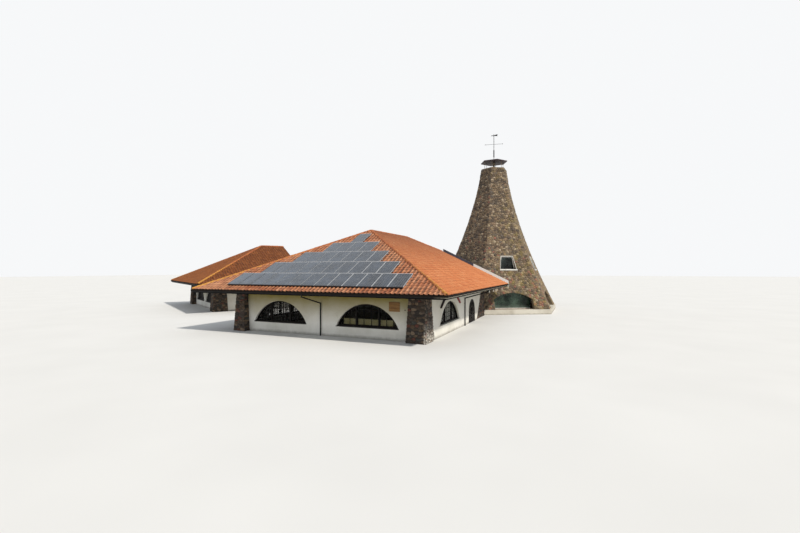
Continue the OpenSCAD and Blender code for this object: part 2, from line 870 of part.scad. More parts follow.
// Low arched window on one face, seen along +x from the tower middle
module tower_arch_hole(near, depth) {
    side_h = tower_arch_h - tower_arch_rise;
    r = (tower_arch_w * tower_arch_w / 4 + tower_arch_rise * tower_arch_rise) / (2 * tower_arch_rise);
    translate([near, -tower_arch_w / 2, plinth_h]) cube([depth, tower_arch_w, side_h]);
    intersection() {
        translate([near, 0, plinth_h + tower_arch_h - r]) rotate([0, 90, 0])
            cylinder(r = r, h = depth, $fn = 96);
        translate([near, -tower_arch_w / 2, plinth_h + side_h - bite])
            cube([depth, tower_arch_w, tower_arch_rise + 2 * bite]);
    }
}

module upper_outline(grow) {
    low = upper_w_low / 2 + grow;
    high = upper_w_high / 2 + grow;
    head = upper_sill + upper_h + grow;
    polygon([[-low, upper_sill - grow], [low, upper_sill - grow], [high, head], [-high, head]]);
}

module upper_hole(near, depth) {
    translate([near, 0, 0]) rotate([90, 0, 90]) linear_extrude(depth) upper_outline(0);
}

// One face of the tower: its curved section swept along the face and mitred at the corners
module tower_face(turn, windows) {
    levels = [for (k = [0:flare_steps]) tower_z(k)];
    outer = [for (z = levels) [tower_r(z) * cos(30), z]];
    inner = [for (k = [flare_steps:-1:0]) [tower_r(levels[k]) * cos(30) - tower_wall_t, levels[k]]];
    color("gray") tower_place() rotate([0, 0, turn]) difference() {
        intersection() {
            translate([0, tower_r_foot, 0]) rotate([90, 0, 0]) linear_extrude(2 * tower_r_foot)
                polygon(concat(outer, inner));
            linear_extrude(tower_h + bite)
                polygon([[mitre, 0], [mitre + tower_r_foot, -tower_r_foot * tan(30)],
                    [mitre + tower_r_foot, tower_r_foot * tan(30)]]);
        }
        if (windows) {
            tower_arch_hole(tower_r_foot / 2, tower_r_foot);
            upper_hole(tower_r_top, tower_r_foot);
        }
    }
}

module tower_wall_1() {
    tower_face(-60, true);
}

module tower_wall_2() {
    tower_face(0, true);
}

module tower_wall_3() {
    tower_face(60, true);
}

module tower_wall_4() {
    tower_face(120, false);
}

module tower_wall_5() {
    tower_face(180, false);
}

module tower_wall_6() {
    tower_face(240, false);
}

// Distances of the windows from the tower middle
arch_depth = tower_r(plinth_h + tower_arch_h) * cos(30) - arch_set;
upper_depth = tower_r(upper_sill + upper_h) * cos(30) - upper_set;

module tower_windows() {
    color("white") tower_place()
        for (turn = [-60, 0, 60])
            rotate([0, 0, turn]) {
                translate([upper_depth, 0, 0]) rotate([90, 0, 90]) linear_extrude(frame_d) difference() {
                    upper_outline(-fit);
                    upper_outline(-frame_w);
                }
                translate([arch_depth, -tower_arch_w / 2 + fit, plinth_h + fit])
                    cube([frame_d, tower_arch_w - 2 * fit, frame_w]);
            }
}

module tower_glass() {
    color("darkcyan") tower_place()
        for (turn = [-60, 0, 60])
            rotate([0, 0, turn]) {
                translate([upper_depth + frame_d / 2, 0, 0]) rotate([90, 0, 90]) linear_extrude(glass_t)
                    upper_outline(-frame_w - fit);
                intersection() {
                    tower_arch_hole(arch_depth + frame_d / 2, glass_t);
                    translate([0, -tower_arch_w / 2 + fit, plinth_h + frame_w + 2 * fit])
                        cube([tower_r_foot, tower_arch_w - 2 * fit, tower_arch_h]);
                }
            }
}

// Slab that closes the tower top, with the posts that carry the cap
module tower_crown() {
    color("dimgray") tower_place() {
        translate([0, 0, tower_h]) hex_prism(tower_r_top - mast_r, crown_t);
        translate([0, 0, tower_h + crown_t - bite]) {
            cylinder(r = cap_pipe_r, h = cap_post_h - crown_t + bite, $fn = 24);
            for (k = [0:5])
                rotate([0, 0, 60 * k + 30]) translate([tower_r_top - tower_wall_t, 0, 0])
                    cylinder(r = cap_post_r, h = cap_post_h - crown_t + bite, $fn = 16);
        }
    }
}

cap_z = tower_h + cap_post_h;

module cap_plate() {
    color("saddlebrown") tower_place() translate([0, 0, cap_z]) {
        rotate([0, 0, cap_turn]) hex_prism(cap_plate_r, cap_t);
        translate([0, 0, cap_t - bite])
            cylinder(r1 = cap_cone_r, r2 = cap_cone_r_top, h = cap_cone_h, $fn = 24);
    }
}

mast_z = cap_z + cap_t + cap_cone_h - bite;
arm_z = mast_z + arm_h;
pivot_z = mast_z + pivot_h;

module mast() {
    color("black") tower_place() {
        translate([0, 0, mast_z]) cylinder(r = mast_r, h = pivot_z - mast_z, $fn = 20);
        translate([0, 0, pivot_z - bite]) cylinder(r = mast_r / 2, h = vane_h + pin_over + bite, $fn = 20);
        translate([0, 0, mast_z + spindle_h]) cylinder(r = spindle_r, h = spindle_l, $fn = 24);
        for (k = [0:3])
            rotate([0, 0, 90 * k + arm_turn]) {
                translate([0, 0, arm_z]) rotate([0, 90, 0]) cylinder(r = arm_r, h = arm_l, $fn = 12);
                translate([arm_l, 0, arm_z]) sphere(r = knob_r, $fn = 20);
            }
    }
}

module vane() {
    color("black") tower_place() translate([0, 0, pivot_z + fit]) difference() {
        union() {
            cylinder(r = mast_r * 1.6, h = vane_h, $fn = 24);
            rotate([90, 0, 0]) translate([0, 0, -vane_t / 2]) linear_extrude(vane_t)
                polygon([[-vane_l * 0.75, vane_h / 2], [-vane_l * 0.55, vane_h * 0.3], [0, vane_h * 0.4],
                    [vane_l * 0.45, vane_h * 0.15], [vane_l, 0], [vane_l * 0.8, vane_h / 2], [vane_l, vane_h],
                    [vane_l * 0.45, vane_h * 0.85], [0, vane_h * 0.6], [-vane_l * 0.55, vane_h * 0.7]]);
        }
        translate([0, 0, -bite]) cylinder(r = mast_r / 2 + vane_gap, h = vane_h + 2 * bite, $fn = 20);
    }
}

// The wing is a second pavilion, turned and with a plain rear gable
module wing_place() {
    translate([-wing_x, wing_y, 0]) rotate([0, 0, -wing_turn]) children();
}

wing_half = wing_w / 2;
wing_front = -wing_half + wing_front_over;
wing_left = -wing_half + wing_left_over;
wing_right = wing_half - wing_right_over;
wing_rear = wing_d - wing_half - wing_rear_over;
wing_mid = (wing_left + wing_right) / 2;
// Distance of its front lunettes from the middle of the wall, so that they share the space between the piers
wing_lunette_x = (wing_right - wing_left) / 4 + (pier_side - pier_w) / 2;
wing_side_lunette_y = wing_front + side_lunette_in;

module wing_pier(side) {
    outer = side > 0 ? wing_right + pier_side : wing_left - pier_side;
    intersection() {
        translate([outer - side * pier_w / 2, wing_front - pier_out, 0]) pier(pier_w, pier_d, pier_top);
        under_roof(roof_t, wing_half, wing_d, 0);
    }
}

module wing_wall(corner, size, side_wall = false) {
    difference() {
        intersection() {
            translate(corner) cube(size);
            under_roof(roof_t, wing_half, wing_d, 0);
        }
        pier_cut(pier_w, wing_right + pier_side, 1, wing_front, side_wall);
        pier_cut(pier_w, wing_left - pier_side, -1, wing_front, side_wall);
    }
}

module wing_floor() {
    color("tan") wing_place() difference() {
        translate([wing_left + wall_t, wing_front + wall_t, 0])
            cube([wing_right - wing_left - 2 * wall_t, wing_rear - wing_front - 2 * wall_t, floor_t]);
        wing_pier(1);
        wing_pier(-1);
    }
}

module wing_front_wall() {
    color("white") wing_place() difference() {
        wing_wall([wing_left - pier_side + pier_w / 2, wing_front, 0],
            [wing_right - wing_left + 2 * pier_side - pier_w, wall_t, tall]);
        for (side = [-1, 1])
            translate([wing_mid + side * wing_lunette_x, wing_front - bite, sill_h])
                lunette_hole(lunette_w, wall_t + 2 * bite);
    }
}

module wing_side_walls() {
    color("white") wing_place() difference() {
        for (x = [wing_left, wing_right - wall_t])
            wing_wall([x, wing_front + wall_t, 0], [wall_t, wing_rear - wing_front - wall_t, tall], true);
        for (x = [wing_left, wing_right - wall_t])
            translate([x + wall_t + bite, wing_side_lunette_y, sill_h]) rotate([0, 0, 90])
                lunette_hole(side_lunette_w, wall_t + 2 * bite);
    }
}

module wing_rear_wall() {
    color("white") wing_place()
        wing_wall([wing_left + wall_t, wing_rear - wall_t, 0],
            [wing_right - wing_left - 2 * wall_t, wall_t, tall]);
}

module wing_piers() {
    color("dimgray") wing_place() {
        wing_pier(1);
        wing_pier(-1);
    }
}

module wing_roof() {
    color("sienna") wing_place() {
        roof_front_slope(wing_half);
        roof_side_slope(1, wing_half, wing_d, 0);
        roof_side_slope(-1, wing_half, wing_d, 0);
    }
}

module wing_ridge_tiles() {
    color("sandybrown") wing_place() ridge_tiles(wing_half, wing_d, 0);
}

module wing_gutters() {
    color("black") wing_place() {
        front_eave(wing_half);
        side_eave(1, wing_half, wing_d);
        side_eave(-1, wing_half, wing_d);
    }
}

module wing_windows() {
    color("saddlebrown") wing_place() {
        for (side = [-1, 1])
            translate([wing_mid + side * wing_lunette_x, wing_front + frame_set, sill_h])
                glazed_lunette(lunette_w);
        translate([wing_right - frame_set, wing_side_lunette_y, sill_h]) rotate([0, 0, 90])
            glazed_lunette(side_lunette_w);
        translate([wing_left + frame_set, wing_side_lunette_y, sill_h]) rotate([0, 0, -90])
            glazed_lunette(side_lunette_w);
    }
}

// Plan of the flat-roofed link, from the hall and the tower round to the wing
function wing_point(x, y) = [-wing_x + x * cos(wing_turn) + y * sin(wing_turn),
    wing_y - x * sin(wing_turn) + y * cos(wing_turn)];
link_h = eave_low - fascia_h - link_under;
link_front = rear_face + link_gap;
link_right = tower_x - (tower_r_foot + plinth_out) * cos(30) - link_gap;
wing_meet_right = wing_point(wing_right, wing_rear + link_gap);
wing_meet_left = wing_point(wing_mid - link_reach, wing_rear + link_gap);
link_corner = wing_meet_right[0] + abs(link_front - wing_meet_right[1]);
link_left = wing_meet_left[0] + (link_back - wing_meet_left[1]) * tan(wing_turn);
link_plan = [[link_right, link_front], [link_right, link_back], [link_left, link_back], wing_meet_left,
    wing_meet_right, [link_corner, link_front]];

module link_outline(inset) {
    offset(delta = -inset) polygon(link_plan);
}

// Places of the two lunettes in the rear wall of the link
link_window_x = [for (k = [-0.5, 0.5]) (link_left + link_right) / 2 + k * lunette_pitch];

module link_walls() {
    color("white") difference() {
        linear_extrude(link_h - link_roof_t) difference() {
            link_outline(0);
            link_outline(wall_t);
        }
        for (x = link_window_x)
            translate([x, link_back + bite, sill_h]) rotate([0, 0, 180])
                lunette_hole(lunette_w, wall_t + 2 * bite);
    }
}

module link_windows() {
    color("saddlebrown")
        for (x = link_window_x)
            translate([x, link_back - frame_set, sill_h]) rotate([0, 0, 180]) glazed_lunette(lunette_w);
}

module link_roof() {
    color("dimgray") translate([0, 0, link_h - link_roof_t]) linear_extrude(link_roof_t) link_outline(0);
}

hall_floor();
hall_front_wall();
hall_right_wall();
hall_door_lintel();
hall_door_jamb();
hall_stone_wall();
hall_left_wall();
hall_rear_wall();
hall_piers();
hall_roof_front();
hall_roof_right();
hall_roof_left();
hall_roof_clip();
hall_ridge_tiles();
hall_gutters();
hall_verge_strip();
hall_downpipes();
solar_panels();
hall_front_windows();
hall_right_window();
hall_left_window();
hall_glass();
door_frame();
door_leaf_front();
door_leaf_rear();
eave_struts();
slatted_board();
tower_plinth();
tower_floor();
tower_wall_1();
tower_wall_2();
tower_wall_3();
tower_wall_4();
tower_wall_5();
tower_wall_6();
tower_windows();
tower_glass();
tower_crown();
cap_plate();
mast();
vane();
wing_floor();
wing_front_wall();
wing_side_walls();
wing_rear_wall();
wing_piers();
wing_roof();
wing_ridge_tiles();
wing_gutters();
wing_windows();
link_walls();
link_roof();
link_windows();
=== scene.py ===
import math

import bmesh
import bpy
import numpy as np
from mathutils import Matrix, Vector


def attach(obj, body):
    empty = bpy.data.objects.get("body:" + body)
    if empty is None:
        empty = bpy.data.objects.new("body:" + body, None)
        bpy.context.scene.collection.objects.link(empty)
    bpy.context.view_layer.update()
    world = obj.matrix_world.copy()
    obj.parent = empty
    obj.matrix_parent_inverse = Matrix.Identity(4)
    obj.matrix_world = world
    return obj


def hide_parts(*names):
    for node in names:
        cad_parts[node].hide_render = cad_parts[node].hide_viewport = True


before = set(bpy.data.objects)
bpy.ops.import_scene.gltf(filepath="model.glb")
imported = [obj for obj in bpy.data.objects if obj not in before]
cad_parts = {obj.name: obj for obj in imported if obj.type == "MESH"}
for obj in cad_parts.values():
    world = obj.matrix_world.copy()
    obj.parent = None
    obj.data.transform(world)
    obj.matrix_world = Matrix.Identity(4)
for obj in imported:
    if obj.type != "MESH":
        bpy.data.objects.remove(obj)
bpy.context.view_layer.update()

scene = bpy.context.scene
scene.view_settings.view_transform = "Standard"
print("frame loaded:", len(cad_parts), "nodes")

# The inn is half size, in metres, with its front to -y and the ground at z = 0
up = Vector((0, 0, 1))
hall = {
    "halfWidth": 4.95,
    "depth": 10.5,
    "eaveHeight": 1.565,
    "pitch": math.radians(26),
    "deckThickness": 0.05,
    "clipRun": 1.5,
    "wallFront": -3.8,
    "wallRight": 3.925,
    "wallLeft": -3.6,
    "frontLunette": 1.785,
    "rightLunette": -1.25,
    "leftLunettes": (-1.25, 2.15),
}
slope = math.tan(hall["pitch"])
apexHeight = hall["eaveHeight"] + hall["halfWidth"] * slope
roofBack = hall["depth"] - hall["halfWidth"]
ridgeEnd = roofBack - hall["clipRun"]
wing = {
    "halfWidth": 4.675,
    "depth": 6.15,
    "wallFront": -3.375,
    "wallRight": 3.2,
    "wallLeft": -3.6,
    "lunettes": (-1.59, 1.19),
    "sideLunette": -0.825,
}
link = {"wallRear": 10.6, "lunettes": (-6.256, -2.856)}
hallPlace = Matrix.Identity(4)
wingPlace = Matrix.Translation((-10.925, 5.525, 0)) @ Matrix.Rotation(math.radians(-31), 4, "Z")


def colour(red, green, blue):
    # picks are made on the 0 to 255 scale of a paint chart
    picked = [channel / 255 for channel in (red, green, blue)]
    return [c / 12.92 if c <= 0.04045 else ((c + 0.055) / 1.055) ** 2.4 for c in picked] + [1]


def plug(socket, value):
    # another node's output is linked, a number or a colour is set
    if isinstance(value, bpy.types.NodeSocket):
        socket.id_data.links.new(value, socket)
    else:
        socket.default_value = value


def startMaterial(name, roughness, metallic=0.0, shine=0.5, others=None):
    # gives the material and the socket that its pattern starts from
    material = bpy.data.materials.new(name)
    material.use_nodes = True
    nodes = material.node_tree.nodes
    values = {"Roughness": roughness, "Metallic": metallic, "Specular IOR Level": shine, **(others or {})}
    for key, value in values.items():
        nodes["Principled BSDF"].inputs[key].default_value = value
    return material, nodes.new("ShaderNodeTexCoord").outputs["Object"]


def addNode(near, kind, values=None, **settings):
    # near is any socket of the same material
    made = near.id_data.nodes.new(kind)
    for key, value in settings.items():
        setattr(made, key, value)
    for key, value in (values or {}).items():
        plug(made.inputs[key], value)
    return made


def noise(place, scale, detail=5.0, roughness=0.6, stretch=None):
    if stretch:
        place = addNode(place, "ShaderNodeMapping", {"Vector": place, "Scale": stretch}).outputs["Vector"]
    values = {"Vector": place, "Scale": scale, "Detail": detail, "Roughness": roughness}
    return addNode(place, "ShaderNodeTexNoise", values).outputs["Fac"]


def ramp(factor, stops):
    # a stop holds a colour, or a number for a grey
    made = addNode(factor, "ShaderNodeValToRGB", {"Fac": factor})
    elements = made.color_ramp.elements
    while len(elements) < len(stops):
        elements.new(0.5)
    for element, (position, value) in zip(elements, stops):
        element.position = position
        element.color = value if hasattr(value, "__len__") else (value, value, value, 1)
    return made.outputs["Color"]


def blend(factor, first, second, mode="MIX"):
    near = next(value for value in (factor, first) if isinstance(value, bpy.types.NodeSocket))
    made = addNode(near, "ShaderNodeMix", data_type="RGBA", blend_type=mode)
    for key, value in (("Factor", factor), ("A", first), ("B", second)):
        plug(next(s for s in made.inputs if s.name == key and s.enabled), value)
    return next(s for s in made.outputs if s.enabled)


def patches(base, factor, low, high, most, paint):
    # the paint covers the base up to the share most as the factor goes from low to high
    return blend(ramp(factor, [(low, 0.0), (high, most)]), base, paint)


def darken(base, factor, low, share, high):
    # the base keeps this share of its light where the factor is low, and all of it where it is high
    return blend(1.0, base, ramp(factor, [(low, share), (high, 1.0)]), "MULTIPLY")


def mathNode(operation, first, second=0.5):
    return addNode(first, "ShaderNodeMath", {0: first, 1: second}, operation=operation).outputs["Value"]


def plus(first, second):
    return mathNode("ADD", first, second)


def minus(first, second):
    return mathNode("SUBTRACT", first, second)


def times(first, second):
    return mathNode("MULTIPLY", first, second)


def axisOf(place, axis):
    return addNode(place, "ShaderNodeSeparateXYZ", {"Vector": place}).outputs[axis]


def spread(value, low, high, least=0.0, most=1.0):
    # least at the value low and most at the value high, clamped
    return addNode(value, "ShaderNodeMapRange", {"Value": value, "From Min": low, "From Max": high,
                                                 "To Min": least, "To Max": most}).outputs["Result"]


def facingOf(place, axis):
    return axisOf(addNode(place, "ShaderNodeTexCoord").outputs["Normal"], axis)


def faceValue(place, name="tint"):
    return addNode(place, "ShaderNodeAttribute", attribute_name=name).outputs["Fac"]


def seams(place, axis, number, width):
    # number boards to the metre: 0 at the seam and 1 on the board
    return spread(mathNode("FRACT", times(axisOf(place, axis), number)), 0.0, width)


def finishMaterial(material, base, bump=None, roughness=None):
    # bump gives a height, its distance and strength; roughness a factor and its two ends
    inputs = material.node_tree.nodes["Principled BSDF"].inputs
    plug(inputs["Base Color"], base)
    if bump:
        made = addNode(base, "ShaderNodeBump", dict(zip(("Height", "Distance", "Strength"), bump)))
        plug(inputs["Normal"], made.outputs["Normal"])
    if roughness:
        factor, smooth, rough = roughness
        plug(inputs["Roughness"], spread(factor, 0.0, 1.0, smooth, rough))
    return material


def plasterMaterial(name, pale, shade, grimeHeight=0.14):
    # rough hand-thrown plaster with faint runs, a damp foot, and painted shade under the eaves: a dull yellow
    # darkening, strongest on the walls that face the front
    material, place = startMaterial(name, 0.92)
    base = ramp(noise(place, 0.9, 6, 0.62), [(0.3, shade), (0.62, pale)])
    base = patches(base, noise(place, 7, 4, 0.55, (1, 1, 0.12)), 0.56, 0.86, 0.12, colour(150, 142, 126))
    foot = plus(axisOf(place, "Z"), times(noise(place, 5, 5), -grimeHeight))
    grime = spread(foot, grimeHeight * 0.3, -grimeHeight * 0.55)
    base = blend(times(grime, 0.7), base, colour(112, 104, 92))
    # painted shade: darker and yellower towards the eaves, most on walls facing -y
    eaveShade = plus(axisOf(place, "Z"), times(noise(place, 1.6, 4), 0.3))
    shaded = spread(facingOf(place, "Y"), -0.3, -0.9, 0.3, 1.0)
    base = blend(times(spread(eaveShade, 0.6, 1.5), shaded), base, colour(142, 128, 66))
    trowel = noise(place, 16, 6, 0.65)
    height = plus(trowel, times(noise(place, 150, 3, 0.6), 0.25))
    return finishMaterial(material, base, (height, 0.012, 0.55), (trowel, 0.82, 0.97))


def stoneMaterial(name, stones, lichen=None, dusty=colour(176, 165, 146), pink=None):
    # each stone has its own tint, with grain, pits and weathered faces; in the tower pink ones lie low and
    # lichen grows on the sunny edge, and the stones pale towards the ground on the right side of the right
    # pier
    material, place = startMaterial(name, 0.88)
    base = ramp(faceValue(place), [(k / len(stones), colour(*stone)) for k, stone in enumerate(stones)])
    base.node.color_ramp.interpolation = "CONSTANT"
    if pink:
        chance = mathNode("FRACT", times(faceValue(place), 17.3))
        low = times(spread(axisOf(place, "Z"), 4.2, 0.4), 0.22)
        patchy = times(low, spread(noise(place, 0.9, 4), 0.4, 0.6))
        base = blend(mathNode("LESS_THAN", chance, plus(patchy, 0.01)), base, pink)
    else:
        # the stones pale towards the foot on the right side of the right pier
        paleFoot = times(spread(axisOf(place, "Z"), 0.72, 0.1), spread(axisOf(place, "X"), 3.9, 3.94))
        paleFoot = times(paleFoot, spread(noise(place, 22, 6), 0.44, 0.54))
        base = blend(paleFoot, base, colour(222, 216, 204))
    grain = noise(place, 34, 8, 0.68)
    base = darken(base, grain, 0.28, 0.55, 0.7)
    base = patches(base, noise(place, 9, 6, 0.6), 0.55, 0.8, 0.35, dusty)
    if lichen:
        growth = plus(noise(place, 3.4, 8, 0.7), times(spread(axisOf(place, "X"), 3.2, 5.0), 0.13))
        base = patches(base, growth, 0.6, 0.78, 0.55, lichen)
    height = plus(grain, times(noise(place, 90, 4, 0.7), 0.35))
    return finishMaterial(material, base, (height, 0.008, 0.7), (grain, 0.74, 0.95))


def mortarMaterial(name, pale, dark):
    material, place = startMaterial(name, 0.95)
    base = ramp(noise(place, 6, 7, 0.65), [(0.3, dark), (0.66, pale)])
    return finishMaterial(material, base, (noise(place, 70, 5, 0.7), 0.006, 0.7))


def tileMaterial(name, tiles, moss, mossAmount, bloom, sootAndShade, dirtAndShadeAmount, aged=0.0, shine=0.5):
    # fired clay: every tile its own tone, pale bloom on the rolls, and dirt with painted shade darkening the
    # troughs and the noses of the tiles; aged darkens the upper courses
    material, place = startMaterial(name, 0.78, shine=shine)
    base = ramp(faceValue(place), [(k / (len(tiles) - 1), colour(*tile)) for k, tile in enumerate(tiles)])
    base = patches(base, noise(place, 0.7, 5, 0.6), 0.42, 0.72, 0.45, bloom)
    fine = noise(place, 48, 6, 0.65)
    base = darken(base, fine, 0.3, 0.74, 0.68)
    # dirt and painted shade: the trough value darkens the troughs and the nose under each tile
    troughDirtAndShade = times(faceValue(place, "trough"), spread(noise(place, 5, 5), 0.25, 0.6))
    base = blend(times(troughDirtAndShade, dirtAndShadeAmount), base, sootAndShade)
    if aged:
        base = blend(times(spread(axisOf(place, "Z"), 2.2, 4.0), aged), base, sootAndShade)
    base = patches(base, noise(place, 4.2, 9, 0.72), 0.6, 0.7, mossAmount, moss)
    base = patches(base, noise(place, 13, 3, 0.5), 0.69, 0.73, 0.75, sootAndShade)
    return finishMaterial(material, base, (fine, 0.003, 0.6), (fine, 0.62, 0.88))


def ridgeMaterial(name, clay, crust, crustAmount, dark):
    # the crust of lichen is thickest low down and on the sunny side; dark stains, with painted shade, lie
    # mostly on the side turned from the sun
    material, place = startMaterial(name, 0.85)
    base = ramp(faceValue(place), list(zip((0.0, 0.5, 1.0), clay)))
    growth = noise(place, 13, 8, 0.72)
    sunny = spread(facingOf(place, "X"), -0.5, 0.5)
    growth = plus(growth, times(sunny, 0.16))
    growth = minus(growth, times(spread(axisOf(place, "Z"), 1.6, 3.2), 0.24))
    base = patches(base, growth, 0.46, 0.6, crustAmount, crust)
    # stains plus painted shade: darker on faces turned away from the sun
    stainAndShade = minus(noise(place, 24, 6, 0.7), times(sunny, 0.1))
    base = patches(base, stainAndShade, 0.44, 0.62, 0.8, dark)
    return finishMaterial(material, base, (growth, 0.006, 0.6), (stainAndShade, 0.75, 0.95))


def paintedMetal(name, paint, worn, roughness=0.5, metallic=0.0, wearAt=0.62, shine=0.5):
    material, place = startMaterial(name, roughness, metallic, shine)
    scuffs = noise(place, 22, 7, 0.7)
    base = ramp(scuffs, [(wearAt - 0.1, paint), (wearAt + 0.12, worn)])
    base = darken(base, noise(place, 9, 4, 0.5, (1, 1, 0.15)), 0.3, 0.75, 0.65)
    return finishMaterial(material, base, (scuffs, 0.002, 0.35),
                          (scuffs, roughness - 0.08, roughness + 0.22))


def gutterRimMaterial():
    # the rolled rim is black, with a painted highlight making it pale on the sunny right run and at the right
    # front corner
    material, place = startMaterial("gutter rim metal", 0.55, shine=0.25)
    scuffs = noise(place, 14, 6, 0.7)
    dark = ramp(scuffs, [(0.4, colour(14, 13, 12)), (0.75, colour(42, 39, 35))])
    pale = ramp(scuffs, [(0.4, colour(150, 144, 124)), (0.7, colour(214, 206, 182))])
    # painted highlight: pale where x passes 4.5 to 4.85, black elsewhere
    base = blend(spread(axisOf(place, "X"), 4.5, 4.85), dark, pale)
    return finishMaterial(material, base, (scuffs, 0.001, 0.3))


def vergeMaterial():
    # slate blue near the ridge, white paint on the lower half
    material, place = startMaterial("verge strip metal", 0.45)
    scuffs = noise(place, 20, 6, 0.7)
    blue = ramp(scuffs, [(0.4, colour(50, 56, 72)), (0.75, colour(92, 96, 106))])
    white = ramp(scuffs, [(0.5, colour(238, 250, 250)), (0.9, colour(196, 200, 194))])
    side = mathNode("ABSOLUTE", axisOf(place, "X"))
    return finishMaterial(material, blend(spread(side, 3.14, 3.16), blue, white), (scuffs, 0.002, 0.3))


def woodMaterial(name, light, dark, stretch=(1, 1, 1 / 12)):
    # the stretch draws the grain out along the board
    material, place = startMaterial(name, 0.62, shine=0.18)
    grain = noise(place, 26, 7, 0.62, stretch)
    base = darken(ramp(grain, [(0.3, dark), (0.68, light)]), noise(place, 4, 3, 0.5), 0.3, 0.72, 0.7)
    return finishMaterial(material, base, (grain, 0.003, 0.5), (grain, 0.54, 0.8))


def strutMaterial():
    # red stain on the rear strut, almost black on the front one
    material, place = startMaterial("red stained wood", 0.7)
    grain = noise(place, 26, 7, 0.62, (1, 0.1, 1))
    rearRed = ramp(grain, [(0.3, colour(84, 26, 26)), (0.68, colour(150, 62, 60))])
    black = ramp(grain, [(0.3, colour(20, 12, 10)), (0.68, colour(52, 28, 22))])
    base = blend(spread(axisOf(place, "Y"), -1.0, -0.6), black, rearRed)
    return finishMaterial(material, base, (grain, 0.003, 0.5), (grain, 0.6, 0.85))


def glassMaterial(name, body, see):
    material, place = startMaterial(name, 0.05, others={"Alpha": see, "IOR": 1.22})
    haze = noise(place, 1.6, 4, 0.5)
    base = ramp(haze, [(0.35, body), (0.7, [c * 1.5 for c in body[:3]] + [1])])
    return finishMaterial(material, base, (haze, 0.004, 0.12), (noise(place, 20, 4, 0.6), 0.05, 0.11))


def towerGlassMaterial():
    # dark panes in the upper windows, milky grey green ones in the low arches, with a painted glow that
    # lightens them towards the sill
    material, place = startMaterial("tower window glass", 0.06, others={"Alpha": 0.85, "IOR": 1.3})
    haze = noise(place, 2.4, 5, 0.6)
    low = ramp(noise(place, 1.3, 4, 0.6), [(0.4, colour(22, 36, 28)), (0.66, colour(92, 112, 98))])
    # painted light: the low panes grow paler towards the sill
    paintedSillGlow = spread(axisOf(place, "Z"), 0.5, 0.27)
    low = blend(times(paintedSillGlow, 0.5), low, colour(128, 144, 132))
    dark = ramp(haze, [(0.4, colour(16, 20, 18)), (0.7, colour(66, 76, 74))])
    base = blend(spread(axisOf(place, "Z"), 1.6, 1.7), low, dark)
    return finishMaterial(material, base, (haze, 0.004, 0.1), (haze, 0.04, 0.14))


def floorBoards(name, light, dark):
    material, place = startMaterial(name, 0.7)
    grain = noise(place, 12, 6, 0.6, (1, 0.08, 1))
    seam = seams(place, "X", 11.0, 0.06)
    base = blend(seam, colour(40, 30, 22), ramp(grain, [(0.3, dark), (0.7, light)]))
    return finishMaterial(material, base, (plus(seam, times(grain, 0.2)), 0.004, 0.6))


def deckMaterial(name, light, dark):
    # dark boards under the tiles, seen from below as the soffit
    material, place = startMaterial(name, 0.85, shine=0.15)
    grain = noise(place, 16, 6, 0.62, (0.12, 1, 1))
    seam = seams(place, "Z", 22.0, 0.1)
    base = blend(seam, colour(16, 12, 10), ramp(grain, [(0.3, dark), (0.7, light)]))
    return finishMaterial(material, base, (grain, 0.003, 0.5))


def feltMaterial(name):
    material, place = startMaterial(name, 0.9)
    grit = noise(place, 160, 4, 0.7)
    base = ramp(noise(place, 1.3, 6, 0.6), [(0.35, colour(66, 66, 68)), (0.65, colour(104, 102, 100))])
    lap = seams(place, "Y", 2.0, 0.03)
    base = darken(blend(lap, colour(38, 38, 40), base), grit, 0.3, 0.7, 0.7)
    return finishMaterial(material, base, (plus(grit, lap), 0.003, 0.6))


palePlaster = plasterMaterial("lime plaster", colour(238, 235, 226), colour(216, 212, 200))
stonework = {
    "pier": ((74, 60, 47), (100, 82, 63), (61, 54, 49), (100, 58, 45), (85, 70, 56), (78, 64, 52),
             (63, 64, 59), (105, 90, 76), (50, 42, 35), (122, 102, 79), (68, 54, 47), (55, 46, 41),
             (92, 72, 52), (72, 62, 54), (131, 112, 92)),
    "tower": ((128, 110, 88), (150, 130, 104), (100, 86, 72), (138, 118, 94), (120, 104, 88), (108, 98, 88),
              (178, 160, 134), (82, 72, 62), (132, 114, 90), (104, 86, 70), (160, 142, 118), (114, 96, 78),
              (126, 112, 94), (92, 80, 68), (146, 122, 98)),
}
pierStone = stoneMaterial("pier fieldstone", stonework["pier"])
towerStone = stoneMaterial("tower fieldstone", stonework["tower"], lichen=colour(150, 132, 62),
                           dusty=colour(168, 148, 120), pink=colour(152, 104, 88))
pierMortar = mortarMaterial("pier mortar", colour(70, 64, 56), colour(38, 35, 32))
towerMortar = mortarMaterial("tower mortar", colour(140, 124, 100), colour(86, 74, 60))
redTiles = tileMaterial(
    "red pantiles",
    ((158, 90, 56), (184, 112, 72), (202, 132, 90), (172, 98, 58), (214, 150, 110)),
    moss=colour(124, 110, 62), mossAmount=0.4, bloom=colour(228, 174, 132), sootAndShade=colour(38, 20, 13),
    dirtAndShadeAmount=1.0)
orangeTiles = tileMaterial(
    "orange pantiles",
    ((200, 116, 64), (212, 130, 76), (204, 118, 66), (218, 142, 88), (194, 110, 62)),
    moss=colour(214, 176, 122), mossAmount=0.5, bloom=colour(224, 148, 98), sootAndShade=colour(96, 54, 34),
    dirtAndShadeAmount=0.8, aged=0.7)
brownTiles = tileMaterial(
    "brown pantiles",
    ((132, 74, 40), (144, 86, 46), (120, 68, 38), (156, 94, 52), (136, 80, 44)),
    moss=colour(116, 94, 42), mossAmount=0.4, bloom=colour(148, 94, 54), sootAndShade=colour(54, 30, 18),
    dirtAndShadeAmount=0.75, shine=0.2)
